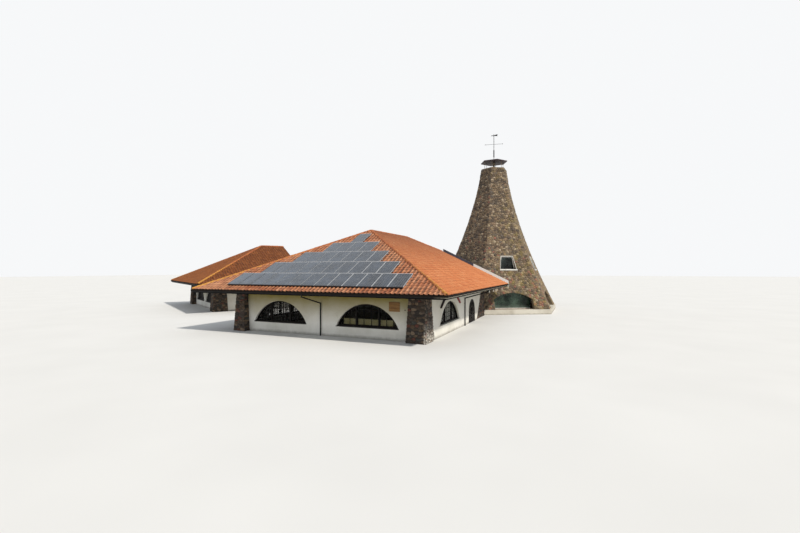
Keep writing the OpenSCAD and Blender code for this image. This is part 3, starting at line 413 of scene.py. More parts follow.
ridgeClay = ridgeMaterial("ridge tiles", [colour(156, 84, 48), colour(184, 108, 60), colour(134, 70, 42)],
                          crust=colour(206, 150, 62), crustAmount=0.85, dark=colour(56, 32, 22))
darkMetal = paintedMetal("black gutter metal", colour(11, 10, 10), colour(32, 29, 27), 0.6, shine=0.15)
pipeMetal = paintedMetal("black pipe metal", colour(12, 11, 11), colour(32, 30, 28), shine=0.25)
gutterMetal = gutterRimMaterial()
deckWood = deckMaterial("dark roof boards", colour(30, 23, 18), colour(14, 11, 9))
windowWood = woodMaterial("dark window wood", colour(28, 22, 17), colour(12, 10, 8))
doorWood = woodMaterial("dark door wood", colour(36, 28, 23), colour(14, 12, 10))
redWood = strutMaterial()
slatWood = woodMaterial("bare slat wood", colour(176, 134, 84), colour(116, 80, 46), (1 / 12, 1, 1))
darkGlass = glassMaterial("dark window glass", colour(8, 11, 8), 0.28)
tealGlass = towerGlassMaterial()
roomFloor = floorBoards("oiled floor boards", colour(150, 110, 70), colour(96, 64, 40))
plinthConcrete = plasterMaterial("white plinth concrete", colour(212, 206, 192), colour(180, 172, 156), 0.09)
whiteFrame = paintedMetal("white window paint", colour(226, 224, 216), colour(180, 174, 160), wearAt=0.72)
capMetal = paintedMetal("purple brown cap metal", colour(60, 43, 49), colour(98, 80, 78), 0.5, 0.4)
mastMetal = paintedMetal("black mast metal", colour(22, 22, 24), colour(86, 62, 46), 0.5, 0.5, 0.66)
roofFelt = feltMaterial("grey roofing felt")
vergeMetal = vergeMaterial()
sillMetal = paintedMetal("brown sill metal", colour(30, 25, 23), colour(62, 56, 52), metallic=0.1, shine=0.3)
lampMetal = paintedMetal("white lamp metal", colour(214, 210, 200), colour(170, 160, 148), 0.45, 0.1)

nodeMaterials = (
    (roomFloor, "hall_floor wing_floor tower_floor"),
    (palePlaster, "hall_front_wall hall_right_wall hall_door_lintel hall_door_jamb hall_left_wall"),
    (palePlaster, "hall_rear_wall wing_front_wall wing_side_walls wing_rear_wall link_walls"),
    (pierMortar, "hall_stone_wall hall_piers wing_piers"),
    (deckWood, "hall_roof_front hall_roof_right hall_roof_left hall_roof_clip wing_roof"),
    (ridgeClay, "hall_ridge_tiles wing_ridge_tiles"),
    (darkMetal, "hall_gutters wing_gutters solar_panels"),
    (vergeMetal, "hall_verge_strip"),
    (pipeMetal, "hall_downpipes"),
    (windowWood, "hall_front_windows hall_right_window hall_left_window wing_windows link_windows"),
    (darkGlass, "hall_glass"),
    (doorWood, "door_frame door_leaf_front door_leaf_rear"),
    (redWood, "eave_struts"),
    (slatWood, "slatted_board"),
    (plinthConcrete, "tower_plinth"),
    (whiteFrame, "tower_windows"),
    (tealGlass, "tower_glass"),
    (towerMortar, "tower_crown tower_wall_1 tower_wall_2 tower_wall_3"),
    (towerMortar, "tower_wall_4 tower_wall_5 tower_wall_6"),
    (capMetal, "cap_plate"),
    (mastMetal, "mast vane"),
    (roofFelt, "link_roof"),
)
for material, names in nodeMaterials:
    for name in names.split():
        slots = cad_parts[name].data.materials
        slots.clear()
        slots.append(material)
print("materials made:", len(bpy.data.materials))


def emptyShape():
    return {"points": [], "faces": [], "tint": [], "indices": []}


def addLoft(shape, first, second, value=0.5, index=0, place=hallPlace):
    # joins two rings with the same number of points and closes both ends
    start, count = len(shape["points"]), len(first)
    shape["points"] += [place @ point for point in (*first, *second)]
    low, high = list(range(start, start + count)), list(range(start + count, start + 2 * count))
    shape["faces"] += [(low[k - 1], low[k], high[k], high[k - 1]) for k in range(count)]
    shape["faces"] += [tuple(low[::-1]), tuple(high)]
    shape["tint"] += [value] * (count + 2)
    shape["indices"] += [index] * (count + 2)


def addBox(shape, low, high, value=0.5, index=0, place=hallPlace):
    plan = ((low[0], low[1]), (high[0], low[1]), (high[0], high[1]), (low[0], high[1]))
    rings = [[Vector((x, y, z)) for x, y in plan] for z in (low[2], high[2])]
    addLoft(shape, *rings, value, index, place)


def circle(radius, sides):
    turns = [2 * math.pi * k / sides for k in range(sides)]
    return [(radius * math.cos(turn), radius * math.sin(turn)) for turn in turns]


def cutToOutline(mesh, outline, place):
    # keeps what stands over a convex plan outline that runs counter-clockwise
    work = bmesh.new()
    work.from_mesh(mesh)
    for index, first in enumerate(outline):
        second = outline[(index + 1) % len(outline)]
        edge = Vector((second[0] - first[0], second[1] - first[1], 0)).normalized()
        point = place @ Vector((first[0], first[1], 0))
        normal = place.to_3x3() @ Vector((edge.y, -edge.x, 0))
        parts = work.verts[:] + work.edges[:] + work.faces[:]
        bmesh.ops.bisect_plane(work, geom=parts, plane_co=point, plane_no=normal, clear_outer=True)
    work.to_mesh(mesh)
    work.free()


def makePiece(name, shape, materials, body="root", replaced=(), place=hallPlace, outline=None,
              smoothAngle=None):
    mesh = bpy.data.meshes.new(name)
    mesh.from_pydata([tuple(place @ Vector(point)) for point in shape["points"]], [], shape["faces"])
    piece = bpy.data.objects.new(name, mesh)
    scene.collection.objects.link(piece)
    for key, domain in (("tint", "FACE"), ("trough", "POINT")):
        if shape.get(key):
            layer = mesh.attributes.new(key, "FLOAT", domain)
            layer.data.foreach_set("value", np.asarray(shape[key], np.float32))
    if shape["indices"]:
        mesh.polygons.foreach_set("material_index", np.array(shape["indices"], np.int32))
    if outline:
        cutToOutline(mesh, outline, place)
    if smoothAngle:
        mesh.shade_smooth()
        mesh.set_sharp_from_angle(angle=math.radians(smoothAngle))
    for material in materials:
        mesh.materials.append(material)
    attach(piece, body)
    if replaced:
        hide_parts(*replaced)
    return piece


# Pantiles: one little S-shaped sheet for each tile, lapped over the course below
pantile = {
    "pitch": 0.15,
    "gauge": 0.18,
    "lift": 0.013,
    "rim": 0.011,
    "tuck": 0.012,
    "seat": 0.004,
    "wobble": 0.0016,
    "beyond": 0.24,    # a tile is laid and cut when its middle lies no further outside the slope
    "planShare": 0.9,  # of a length up the slope, seen from above
    "roll": 0.024,     # the rise above which a tile is kept free of dirt and painted shade
    "least": 0.001,
    "along": [0.0, 0.05, 0.13, 0.23, 0.33, 0.42, 0.5, 0.75, 1.03],
    "rise": [0.003, 0.014, 0.0235, 0.027, 0.0235, 0.014, 0.004, 0.0005, 0.004],
}


def outsideBy(point, outline):
    # how far a point lies outside a convex outline, negative inside
    worst = -1e9
    for index, first in enumerate(outline):
        second = outline[(index + 1) % len(outline)]
        edge = Vector((second[0] - first[0], second[1] - first[1])).normalized()
        worst = max(worst, (point[0] - first[0]) * edge.y - (point[1] - first[1]) * edge.x)
    return worst


def layTiles(name, corner, along, length, run, outline, place, material, seed):
    # courses run along the eave from its corner and climb over the run of the slope
    draw = np.random.default_rng(seed)
    inward = up.cross(along)
    upSlope = Vector((inward.x * math.cos(hall["pitch"]), inward.y * math.cos(hall["pitch"]),
                      math.sin(hall["pitch"])))
    normal = along.cross(upSlope)
    gauge, lift = pantile["gauge"], pantile["lift"]
    courses = math.ceil(run / math.cos(hall["pitch"]) / gauge)
    columns = round(length / pantile["pitch"])
    pitch = length / columns
    acrossPoints = np.array(pantile["along"]) * pitch
    rise = np.array(pantile["rise"]) + pantile["seat"]
    shape = {**emptyShape(), "trough": []}
    count = len(acrossPoints)
    for course in range(courses):
        for column in range(columns):
            low = course * gauge
            middle = corner + along * ((column + 0.5) * pitch)
            middle = middle + inward * (low + gauge / 2) * pantile["planShare"]
            if outsideBy(middle, outline) > pantile["beyond"]:
                continue
            shift = draw.normal(0, pantile["wobble"], 3)
            value = draw.random()
            start = len(shape["points"])
            nose = low - abs(shift[0]) * 0.5
            rows = ((nose, lift - pantile["rim"]), (nose, lift), (low + gauge + pantile["tuck"], 0.0))
            for row, (distance, raised) in enumerate(rows):
                tilt = shift[1] * (1 if row < 2 else 0)
                for step in range(count):
                    side = column * pitch + acrossPoints[step] + shift[2]
                    height = max(rise[step] + raised + tilt, pantile["least"])
                    shape["points"].append(corner + along * side + upSlope * distance + normal * height)
                    # dirt with painted shade fills the troughs and the nose under every tile but those of the
                    # eave course, which stay light
                    clearOfDirtAndShade = min(rise[step] / pantile["roll"], 1.0) if row or course == 0 else 0.0
                    shape["trough"].append(1.0 - clearOfDirtAndShade)
            for row in range(2):
                for step in range(count - 1):
                    first = start + row * count + step
                    shape["faces"].append((first, first + 1, first + count + 1, first + count))
                    shape["tint"].append(value)
    makePiece(name, shape, [material], place=place, outline=outline, smoothAngle=48)


def tileRoof(prefix, roof, clip, place, materials, seed):
    # a hipped front and two sides, which end square or behind a clipped gable
    half, depth = roof["halfWidth"], roof["depth"]
    back = depth - half
    right = [(half, -half), (half, back)] + ([(clip, back)] if clip else []) + [(0, back - clip), (0, 0)]
    left = [(-x, y) for x, y in reversed(right)]
    sides = (("front", (-half, -half), (1, 0, 0), 2 * half, [(-half, -half), (half, -half), (0, 0)]),
             ("right", (half, -half), (0, 1, 0), depth, right),
             ("left", (-half, back), (0, -1, 0), depth, left))
    for index, (side, corner, along, length, outline) in enumerate(sides):
        layTiles(f"{prefix}_tiles_{side}", Vector((*corner, hall["eaveHeight"])), Vector(along), length, half,
                 outline, place, materials[index], seed + index)


clip = hall["clipRun"]
tileRoof("hall", hall, clip, hallPlace, [redTiles, orangeTiles, orangeTiles], 11)
tileRoof("wing", wing, 0, wingPlace, [brownTiles] * 3, 21)
clipCorner = Vector((clip, roofBack, apexHeight - clip * slope))
layTiles("hall_tiles_clip", clipCorner, Vector((-1, 0, 0)), 2 * clip, clip,
         [(0, ridgeEnd), (clip, roofBack), (-clip, roofBack)], hallPlace, orangeTiles, 31)
print("roof tiles laid")

# Half-round ridge and hip tiles, lapped uphill
ridgeTile = {
    "length": 0.2,
    "lap": 0.03,
    "wide": 0.062,
    "narrow": 0.054,
    "thickness": 0.009,
    "sweep": 104,      # degrees from the crown to each edge
    "sides": 12,
    "sunk": 0.004,
    "wobble": 0.0015,
    "inset": 0.05,     # from the eave to the foot of a hip
}


def layRidge(runs, draw):
    shape = emptyShape()
    sides = ridgeTile["sides"]
    for start, end in runs:
        line = end - start
        forward = line.normalized()
        across = forward.cross(up).normalized()
        over = across.cross(forward)
        number = round(line.length / (ridgeTile["length"] - ridgeTile["lap"]))
        step = line.length / number
        for index in range(number):
            low = start + forward * (index * step)
            high = start + forward * min(index * step + ridgeTile["length"], line.length)
            wobble = draw.normal(0, ridgeTile["wobble"], 2)
            rings = []
            for origin, radius in ((low, ridgeTile["wide"]), (high, ridgeTile["narrow"])):
                for thickness in (0, ridgeTile["thickness"]):
                    rings.append(len(shape["points"]))
                    for side in range(sides + 1):
                        angle = math.radians(ridgeTile["sweep"]) * (2 * side / sides - 1)
                        reach = radius - thickness
                        point = origin + across * (math.sin(angle) * reach + wobble[1])
                        sunk = -ridgeTile["sunk"] + wobble[0]
                        shape["points"].append(point + over * (math.cos(angle) * reach + sunk))
            outerLow, innerLow, outerHigh, innerHigh = rings
            corners = (outerLow, outerHigh, innerHigh, innerLow)
            for k in range(sides):
                for first, second in ((outerLow, outerHigh), (innerHigh, innerLow), (innerLow, outerLow),
                                      (outerHigh, innerHigh)):
                    shape["faces"].append((first + k, first + k + 1, second + k + 1, second + k))
            shape["faces"] += [tuple(corners[::-1]), tuple(corner + sides for corner in corners)]
            shape["tint"] += [draw.random()] * (4 * sides + 2)
    return shape


def ridgePiece(name, roof, clip, place, replaced, seed):
    half, inset = roof["halfWidth"], ridgeTile["inset"]
    back = roof["depth"] - half
    top = hall["eaveHeight"] + half * slope
    apex = Vector((0, 0, top))
    end = Vector((0, back - clip, top))
    runs = [(Vector((side * (half - inset), -half + inset, hall["eaveHeight"] + inset * slope)), apex)
            for side in (1, -1)]
    if clip:
        runs += [(Vector((side * (clip - inset), back - inset, top - (clip - inset) * slope)), end)
                 for side in (1, -1)]
    runs.append((end, apex + Vector((0, inset, 0))))
    shape = layRidge(runs, np.random.default_rng(seed))
    makePiece(name, shape, [ridgeClay], replaced=[replaced], place=place, smoothAngle=40)


ridgePiece("hall_ridge_caps", hall, clip, hallPlace, "hall_ridge_tiles", 41)
ridgePiece("wing_ridge_caps", wing, 0, wingPlace, "wing_ridge_tiles", 42)
print("ridge tiles laid")

# Rubble: each stone grows round its own seed in the face of a wall and swells from a sunken edge
rubble = {
    "towerSize": (0.125, 0.09),
    "pierSize": (0.135, 0.085),
    "joint": 0.009,
    "towerRelief": 0.026,
    "pierRelief": 0.022,
    "neighbours": 14,
    "sunk": 0.004,
    "heights": (0.75, 1.3),      # of a course, as shares of the size
    "widths": (0.6, 1.5),
    "stagger": (-0.35, 0.1),
    "drift": 0.24,
    "leftOut": 0.06,
    "reach": 1.25,               # how far a stone may grow from its seed
    "margin": 0.02,              # from a seed to the ends of the face and to an opening
    "trim": 0.004,               # left bare along an opening
    "beside": 0.3,               # stones nearer to an opening than this are trimmed
    "footGap": 0.003,
    "rings": ((1.0, 0.0, 0.0), (0.955, 0.55, 0.1), (0.78, 0.94, 0.14)),    # scale, height and roughness
    "fullness": (0.55, 1.0),
    "crown": 1.04,
    "lean": 0.045,
}
tower = {
    "place": (3.605, 8.75),
    "foot": 3.725,
    "top": 0.755,
    "plinth": 0.25,
    "height": 8.14,
    "arch": (2.09, 0.83, 0.33),              # width, height and rise
    "window": (2.295, 0.725, 0.9, 0.65),     # sill, height, width at the sill and at the head
    "stoneGap": 0.05,                        # left bare round a window
    "flare": (0.28, 1.65),                   # share of the taper that is straight, power of the rest
    "steps": 10,
    "cornerOut": 0.006,
}
flatShare = math.cos(math.pi / 6)            # from a corner of the six-sided tower to the middle of a face


def cutAway(polygon, point, normal):
    # keeps what lies behind the line through point
    limit = point[0] * normal[0] + point[1] * normal[1]
    beyond = [p[0] * normal[0] + p[1] * normal[1] - limit for p in polygon]
    kept = []
    for index, here in enumerate(polygon):
        after = (index + 1) % len(polygon)
        if beyond[index] <= 0:
            kept.append(here)
        if beyond[index] * beyond[after] < 0:
            part = beyond[index] / (beyond[index] - beyond[after])
            there = polygon[after]
            kept.append((here[0] + part * (there[0] - here[0]), here[1] + part * (there[1] - here[1])))
    return kept


def clearOf(polygon, seed, opening):
    # cuts a stone along the edge of the opening that faces it
    best = None
    for index, first in enumerate(opening):
        second = opening[(index + 1) % len(opening)]
        edge = Vector((second[0] - first[0], second[1] - first[1])).normalized()
        distance = (seed[0] - first[0]) * edge.y - (seed[1] - first[1]) * edge.x
        if best is None or distance > best[0]:
            best = (distance, first, (-edge.y, edge.x))
    distance, first, inward = best
    trim = rubble["trim"]
    return cutAway(polygon, (first[0] - inward[0] * trim, first[1] - inward[1] * trim), inward)


def stoneSeeds(sides, low, high, size, openings, draw):
    # rows of seeds, wandering up and down, with a few left out
    seeds = []
    row, margin = low, rubble["margin"]
    while row < high - size[1] * 0.4:
        tall = size[1] * draw.uniform(*rubble["heights"])
        left, right = sides(row + tall / 2)
        place = left + size[0] * draw.uniform(*rubble["stagger"])
        while place < right - size[0] * 0.3:
            wide = size[0] * draw.uniform(*rubble["widths"])
            spot = (place + wide / 2, row + tall / 2 + draw.normal(0, rubble["drift"]) * size[1])
            place += wide
            inside = left + margin < spot[0] < right - margin
            if inside and draw.random() > rubble["leftOut"]:
                if all(outsideBy(spot, opening) > margin for opening in openings):
                    seeds.append(spot)
        row += tall
    return np.array(seeds)


def stoneShapes(sides, low, high, size, openings, draw):
    # sides gives the left and right end of the face at a height
    seeds = stoneSeeds(sides, low, high, size, openings, draw)
    squeeze = size[1] / size[0]
    flat = seeds * (squeeze, 1)
    wide, tall = size[0] * rubble["reach"], size[1] * rubble["reach"]
    shapes = []
    for index, seed in enumerate(seeds):
        near = np.argsort(((flat - flat[index]) ** 2).sum(1))[1:rubble["neighbours"] + 1]
        shape = [(seed[0] - wide, seed[1] - tall), (seed[0] + wide, seed[1] - tall),
                 (seed[0] + wide, seed[1] + tall), (seed[0] - wide, seed[1] + tall)]
        for other in near:
            across = seeds[other] - seed
            normal = np.array((across[0] * squeeze * squeeze, across[1]))
            normal /= math.hypot(*normal)
            shape = cutAway(shape, seed + across / 2 - normal * rubble["joint"] / 2, normal)
        down, over = seed[1] - tall, seed[1] + tall
        (leftLow, rightLow), (leftHigh, rightHigh) = sides(down), sides(over)
        shape = cutAway(shape, (leftLow, down), (down - over, leftHigh - leftLow))
        shape = cutAway(shape, (rightLow, down), (over - down, rightLow - rightHigh))
        shape = cutAway(shape, (0, low + rubble["footGap"]), (0, -1))
        shape = cutAway(shape, (0, high), (0, 1))
        for opening in openings:
            if outsideBy(seed, opening) < rubble["beside"]:
                shape = clearOf(shape, seed, opening)
        if len(shape) > 2:
            shapes.append(np.array(shape))
    return shapes


def softened(shape):
    # cuts each corner at a quarter of its sides
    after = np.roll(shape, -1, 0)
    return np.stack([shape * 0.75 + after * 0.25, shape * 0.25 + after * 0.75], 1).reshape(-1, 2)


def raiseStones(name, walls, material, relief, seed, soften=False):
    draw = np.random.default_rng(seed)
    raised = emptyShape()
    for shapes, onWall in walls:
        for shape in shapes:
            if soften:
                shape = softened(shape)
            count = len(shape)
            middle = shape.mean(0)
            height = relief * draw.uniform(*rubble["fullness"])
            lean = draw.normal(0, rubble["lean"], 2)
            start = len(raised["points"])
            rings = []
            for scale, part, rough in rubble["rings"]:
                ring = middle + (shape - middle) * scale
                out = height * (part + draw.uniform(-rough, rough, count))
                rings.append(np.column_stack([ring, out + (ring - middle) @ lean * part]))
            rings[0][:, 2] = -rubble["sunk"]
            rings.append(np.array([[middle[0], middle[1], height * rubble["crown"]]]))
            flat = np.concatenate(rings)
            raised["points"] += onWall(flat[:, 0], flat[:, 1], flat[:, 2]).tolist()
            for side in range(count):
                after = (side + 1) % count
                for low, high in ((start, start + count), (start + count, start + 2 * count)):
                    raised["faces"].append((low + side, low + after, high + after, high + side))
                raised["faces"].append((high + side, high + after, high + count))
            raised["tint"] += [draw.random()] * (3 * count)
    makePiece(name, raised, [material], smoothAngle=62)


def towerRadius(z):
    # straight between the steps of the flare
    levels = np.linspace(tower["plinth"], tower["height"], tower["steps"] + 1)
    down = 1 - (levels - levels[0]) / (levels[-1] - levels[0])
    straight, power = tower["flare"]
    spreading = straight * down + (1 - straight) * down ** power
    return np.interp(z, levels, tower["top"] + (tower["foot"] - tower["top"]) * spreading)


def towerAxes(turn):
    # the way out of a face, the way along it and the middle of the tower
    angle = math.radians(turn)
    return (np.array((math.cos(angle), math.sin(angle), 0)), np.array((-math.sin(angle), math.cos(angle), 0)),
            np.array((*tower["place"], 0)))


def towerFace(turn):
    # places points on the leaning face: u along it, z up and out from the stone
    forward, across, centre = towerAxes(turn)

    def onWall(u, z, out):
        step = 0.02
        fall = (towerRadius(z + step) - towerRadius(z - step)) / (2 * step) * flatShare
        size = np.sqrt(1 + fall * fall)
        distance = towerRadius(z) * flatShare + out / size
        height = np.array((0, 0, 1)) * (z - out * fall / size)[:, None]
        return centre + forward * distance[:, None] + across * u[:, None] + height

    return onWall


def archOutline(width, height, rise, foot, steps=10):
    radius = (width * width / 4 + rise * rise) / (2 * rise)
    reach = math.asin(width / 2 / radius)
    arc = [(radius * math.sin(a), foot + height - radius + radius * math.cos(a))
           for a in np.linspace(reach, -reach, steps + 1)]
    return [(-width / 2, foot), (width / 2, foot)] + arc


def towerSides(z):
    # the corners stand out a little so that the stones of two faces meet there
    reach = float(towerRadius(min(max(z, tower["plinth"]), tower["height"]))) / 2 + tower["cornerOut"]
    return -reach, reach


sill, windowHeight, windowLow, windowHigh = tower["window"]
gap = tower["stoneGap"]
towerOpenings = [
    archOutline(*tower["arch"], tower["plinth"]),
    [(-windowLow / 2 - gap, sill - gap - 0.01), (windowLow / 2 + gap, sill - gap - 0.01),
     (windowHigh / 2 + gap, sill + windowHeight + gap), (-windowHigh / 2 - gap, sill + windowHeight + gap)],
]
draw = np.random.default_rng(51)
for face in range(6):
    openings = towerOpenings if face < 3 else []
    shapes = stoneShapes(towerSides, tower["plinth"], tower["height"], rubble["towerSize"], openings, draw)
    raiseStones(f"tower_stones_{face + 1}", [(shapes, towerFace(60 * face - 60))], towerStone,
                rubble["towerRelief"], 60 + face)
print("tower stones laid")

pier = {
    "width": 0.67,
    "slim": 0.525,
    "depth": 0.8,
    "out": 0.27,
    "beyond": 0.05,
    "slimBeyond": 0.13,
    "lean": 0.055,
    "cornerOut": 0.008,
    "hallHeight": 1.95,
    "wingHeight": 2.03,
}


def pierWalls(front, outer, side, high, place, width=pier["width"]):
    # the front of a pier, its outer side, and the short inner side before the wall
    turn = np.array(place.to_3x3())
    shift = np.array(place.translation)
    middle = outer - side * width / 2
    near = front - pier["out"]
    lean = pier["lean"]

    def placed(x, y, z):
        return np.column_stack([x, y, z]) @ turn.T + shift

    def frontSides(z):
        reach = width / 2 - lean * z + pier["cornerOut"]
        return -reach, reach

    def deepSides(z):
        return lean * z, pier["depth"] - lean * z

    def shortSides(z):
        return lean * z, pier["out"]

    def onFront(u, z, out):
        return placed(middle + u, near + lean * z - out, z)

    def onOuter(u, z, out):
        return placed(outer - side * (lean * z - out), near + u, z)

    def onInner(u, z, out):
        return placed(outer - side * (width - lean * z + out), near + u, z)

    walls = []
    for sides, onWall, mirrored in ((frontSides, onFront, False), (deepSides, onOuter, side < 0),
                                    (shortSides, onInner, side > 0)):
        shapes = stoneShapes(sides, 0.0, high, rubble["pierSize"], [], draw)
        walls.append(([shape[::-1] for shape in shapes] if mirrored else shapes, onWall))
    return walls


def raisePierStones(name, walls, seed):
    raiseStones(name, walls, pierStone, rubble["pierRelief"], seed, True)


front, high, beyond = hall["wallFront"], pier["hallHeight"], pier["beyond"]
walls = pierWalls(front, hall["wallRight"] + beyond, 1, high, hallPlace)
walls += pierWalls(front, hall["wallLeft"] - pier["slimBeyond"], -1, high, hallPlace, pier["slim"])
raisePierStones("hall_pier_stones", walls, 71)
front, high = wing["wallFront"], pier["wingHeight"]
walls = pierWalls(front, wing["wallRight"] + beyond, 1, high, wingPlace)
walls += pierWalls(front, wing["wallLeft"] - beyond, -1, high, wingPlace)
raisePierStones("wing_pier_stones", walls, 72)

# The stone wall behind the door leans back from the doorway
stoneWall = {"near": 2.955, "lean": 0.66, "far": 4.845, "height": 2.02, "set": 0.06}


def stoneWallSides(z):
    return stoneWall["near"] + stoneWall["lean"] * z, stoneWall["far"]


def onStoneWall(u, z, out):
    return np.column_stack([hall["wallRight"] - stoneWall["set"] + out, u, z])


shapes = stoneShapes(stoneWallSides, 0.0, stoneWall["height"], rubble["pierSize"], [], draw)
raisePierStones("stone_wall_stones", [(shapes, onStoneWall)], 73)
print("pier and wall stones laid")

# Solar panels: an aluminium frame round a glass sheet, clamped to two rails in each row
panel = {
    "width": 0.52,
    "length": 0.905,
    "thick": 0.02,
    "gap": 0.012,
    "rowGap": 0.024,
    "rise": 0.062,
    "side": 1.45,
    "start": 0.29,
    "rail": 0.024,
    "railsAt": (0.22, 0.78),
    "hook": (0.6, 0.02, 0.004, 0.027),    # spacing, width, foot and height of the hooks under a rail
    "frame": 0.012,
    "glassSet": (0.006, 0.002),    # from the back and from the front of the frame
    "clamp": (0.024, 0.003),       # length, and how far it stands over the frame
    "sag": 0.0008,
    "rows": 5,
    "most": 13,
    "fewer": 3,
    "cell": (0.0827, 0.0881),
}


def panelMetalMaterial():
    # brushed aluminium, its tint painted with light and shade: near black, as painted shade, for the edge
    # rail and the bottom bars of the lowest row; the side bars lighter towards the right; the other bottom
    # bars mid grey; the top bars bright, as a painted highlight
    material, place = startMaterial("panel aluminium", 0.4, 0.1)
    brushed = noise(place, 60, 5, 0.6, (1, 0.1, 1))
    base = ramp(faceValue(place), [(0.0, colour(18, 18, 19)), (0.08, colour(66, 70, 76)),
                                   (1.0, colour(232, 234, 236))])
    base = darken(base, brushed, 0.3, 0.86, 0.7)
    return finishMaterial(material, base, (brushed, 0.001, 0.3), (brushed, 0.32, 0.5))


def panelGlassMaterial():
    # crystal cells with pale joints, three fine wires on each and a film of dust, under a painted reflection
    # that makes them lighter towards the left
    material, place = startMaterial("solar cells", 0.16, shine=0.28)
    cells = addNode(place, "ShaderNodeUVMap", uv_map="cells").outputs["UV"]
    toneAndReflection = noise(place, 2.2, 4, 0.6)
    # painted reflection: the cells grow darker towards the right, over broad patches of tone
    side = spread(axisOf(place, "X"), -3.6, 3.6)
    toneAndReflection = minus(plus(toneAndReflection, 0.22), times(side, 0.55))
    base = ramp(toneAndReflection, [(0.1, colour(15, 24, 38)), (0.8, colour(71, 83, 99))])
    crystal = addNode(place, "ShaderNodeTexVoronoi", {"Vector": place, "Scale": 70.0}).outputs["Color"]
    base = blend(0.12, base, crystal, "OVERLAY")
    for axis in ("X", "Y"):
        line = mathNode("ABSOLUTE", minus(mathNode("FRACT", axisOf(cells, axis)), 0.5))
        base = blend(spread(line, 0.46, 0.485), base, colour(120, 126, 132))
    wires = mathNode("FRACT", times(axisOf(cells, "X"), 3))
    wire = mathNode("ABSOLUTE", minus(wires, 0.5))
    base = blend(times(spread(wire, 0.03, 0.015), 0.5), base, colour(160, 164, 170))
    dust = noise(place, 9, 7, 0.65)
    base = patches(base, dust, 0.5, 0.8, 0.3, colour(138, 136, 130))
    return finishMaterial(material, base, roughness=(dust, 0.1, 0.3))


def sideBarPaintedLight(left, draw):
    # painted light: the side bars are painted lighter towards the right
    share = max(0.0, min(1.0, (left + 2.6) / 5.2))
    return 0.14 + 0.5 * share + draw.uniform(-0.06, 0.06)


def addPanel(shape, left, low, foremost, draw):
    # four bars of the frame, then the glass between them, with a clamp on each rail beside it
    edge = panel["frame"]
    over, high = left + panel["width"], low + panel["length"]
    sag = draw.uniform(-panel["sag"], panel["sag"])
    bottom, top = panel["rise"] + sag, panel["rise"] + panel["thick"] + sag
    sideBarLight = sideBarPaintedLight(left, draw)
    # painted light and shade: the bottom bar near black on the lowest row and mid grey elsewhere, the top bar
    # bright as a highlight
    for start, end, value in (((left, low), (over, low + edge), 0.04 if foremost else 0.5),
                              ((left, high - edge), (over, high), 0.92),
                              ((left, low + edge), (left + edge, high - edge), sideBarLight),
                              ((over - edge, low + edge), (over, high - edge), sideBarLight)):
        addBox(shape, (*start, bottom), (*end, top), value)
    under, below = panel["glassSet"]
    addBox(shape, (left + edge, low + edge, bottom + under), (over - edge, high - edge, top - below),
           draw.random(), 1)
    wide, proud = panel["clamp"]
    for share in panel["railsAt"]:
        middle = low + share * panel["length"]
        addBox(shape, (over, middle - wide / 2, bottom),
               (over + panel["gap"], middle + wide / 2, top + proud))


def layPanels():
    # y runs up the slope from the eave and z stands on the tiles
    shape = emptyShape()
    draw = np.random.default_rng(81)
    pitch, rise = panel["width"] + panel["gap"], panel["rise"]
    spacing, wide, foot, tall = panel["hook"]
    for row in range(panel["rows"]):
        count = panel["most"] - panel["fewer"] * row
        right = hall["halfWidth"] - panel["side"] - row * panel["fewer"] / 2 * pitch
        left = right - count * pitch
        low = panel["start"] / math.cos(hall["pitch"]) + row * (panel["length"] + panel["rowGap"])
        for index in range(count):
            addPanel(shape, right - (index + 1) * pitch, low, row == 0, draw)
        if row == 0:
            # a black rail along the foot of the lowest row; its black stands in for the shade in the gap
            # under the panels
            addBox(shape, (left + 0.02, low + 0.012, foot), (right - 0.02, low + 0.03, rise - 0.001), 0.0)
        for share in panel["railsAt"]:
            middle = low + share * panel["length"]
            addBox(shape, (left - 0.03, middle - panel["rail"] / 2, 0.03),
                   (right + 0.02, middle + panel["rail"] / 2, rise - 0.001))
            for start in np.arange(left + 0.1, right, spacing):
                addBox(shape, (start, middle - wide / 2, foot),
                       (start + wide, middle + wide / 2, foot + tall))
    tilt = Matrix.Translation((0, -hall["halfWidth"], hall["eaveHeight"]))
    tilt = tilt @ Matrix.Rotation(hall["pitch"], 4, "X")
    piece = makePiece("solar_panel_rows", shape, [panelMetalMaterial(), panelGlassMaterial()],
                      replaced=["solar_panels"], place=tilt)
    layer = piece.data.uv_layers.new(name="cells")
    wide, tall = panel["cell"]
    for polygon in piece.data.polygons:
        if polygon.material_index == 1:
            corners = [shape["points"][v] for v in polygon.vertices]
            leftEnd, lowEnd = min(c.x for c in corners), min(c.y for c in corners)
            for loop, corner in zip(polygon.loop_indices, corners):
                layer.data[loop].uv = ((corner.x - leftEnd) / wide, (corner.y - lowEnd) / tall)


layPanels()
print("solar panels laid")

# Lunette windows: glazing bars on both sides of the glass, a sill, and short curtains in two of them
lunette = {
    "width": 2.33,
    "sideWidth": 2.5,
    "height": 0.775,
    "sill": 0.38,
    "set": 0.07,
    "frame": 0.06,
    "post": 0.425,
    "postHalf": 0.03,
    "bar": 0.014,
    "glass": 0.1,
    "thick": 0.008,
    "barDepths": (0.007, 0.005),     # outside and inside the glass
    "barFoot": 0.05,
    "sillOut": 0.028,
    "sillPast": 0.012,
    "sillTop": (-0.008, 0.002),      # foot and top of the board
    "sillDrip": (0.006, -0.02, -0.006),    # thickness, foot and top of its lip
    "endBay": 0.12,
    "postClear": 0.05,
}
curtain = {
    "foot": 0.062,
    "wave": 0.052,
    "swing": 0.009,
    "behind": 0.14,
    "step": 0.004,
    "rod": 0.004,
    "rodPast": 0.012,
}


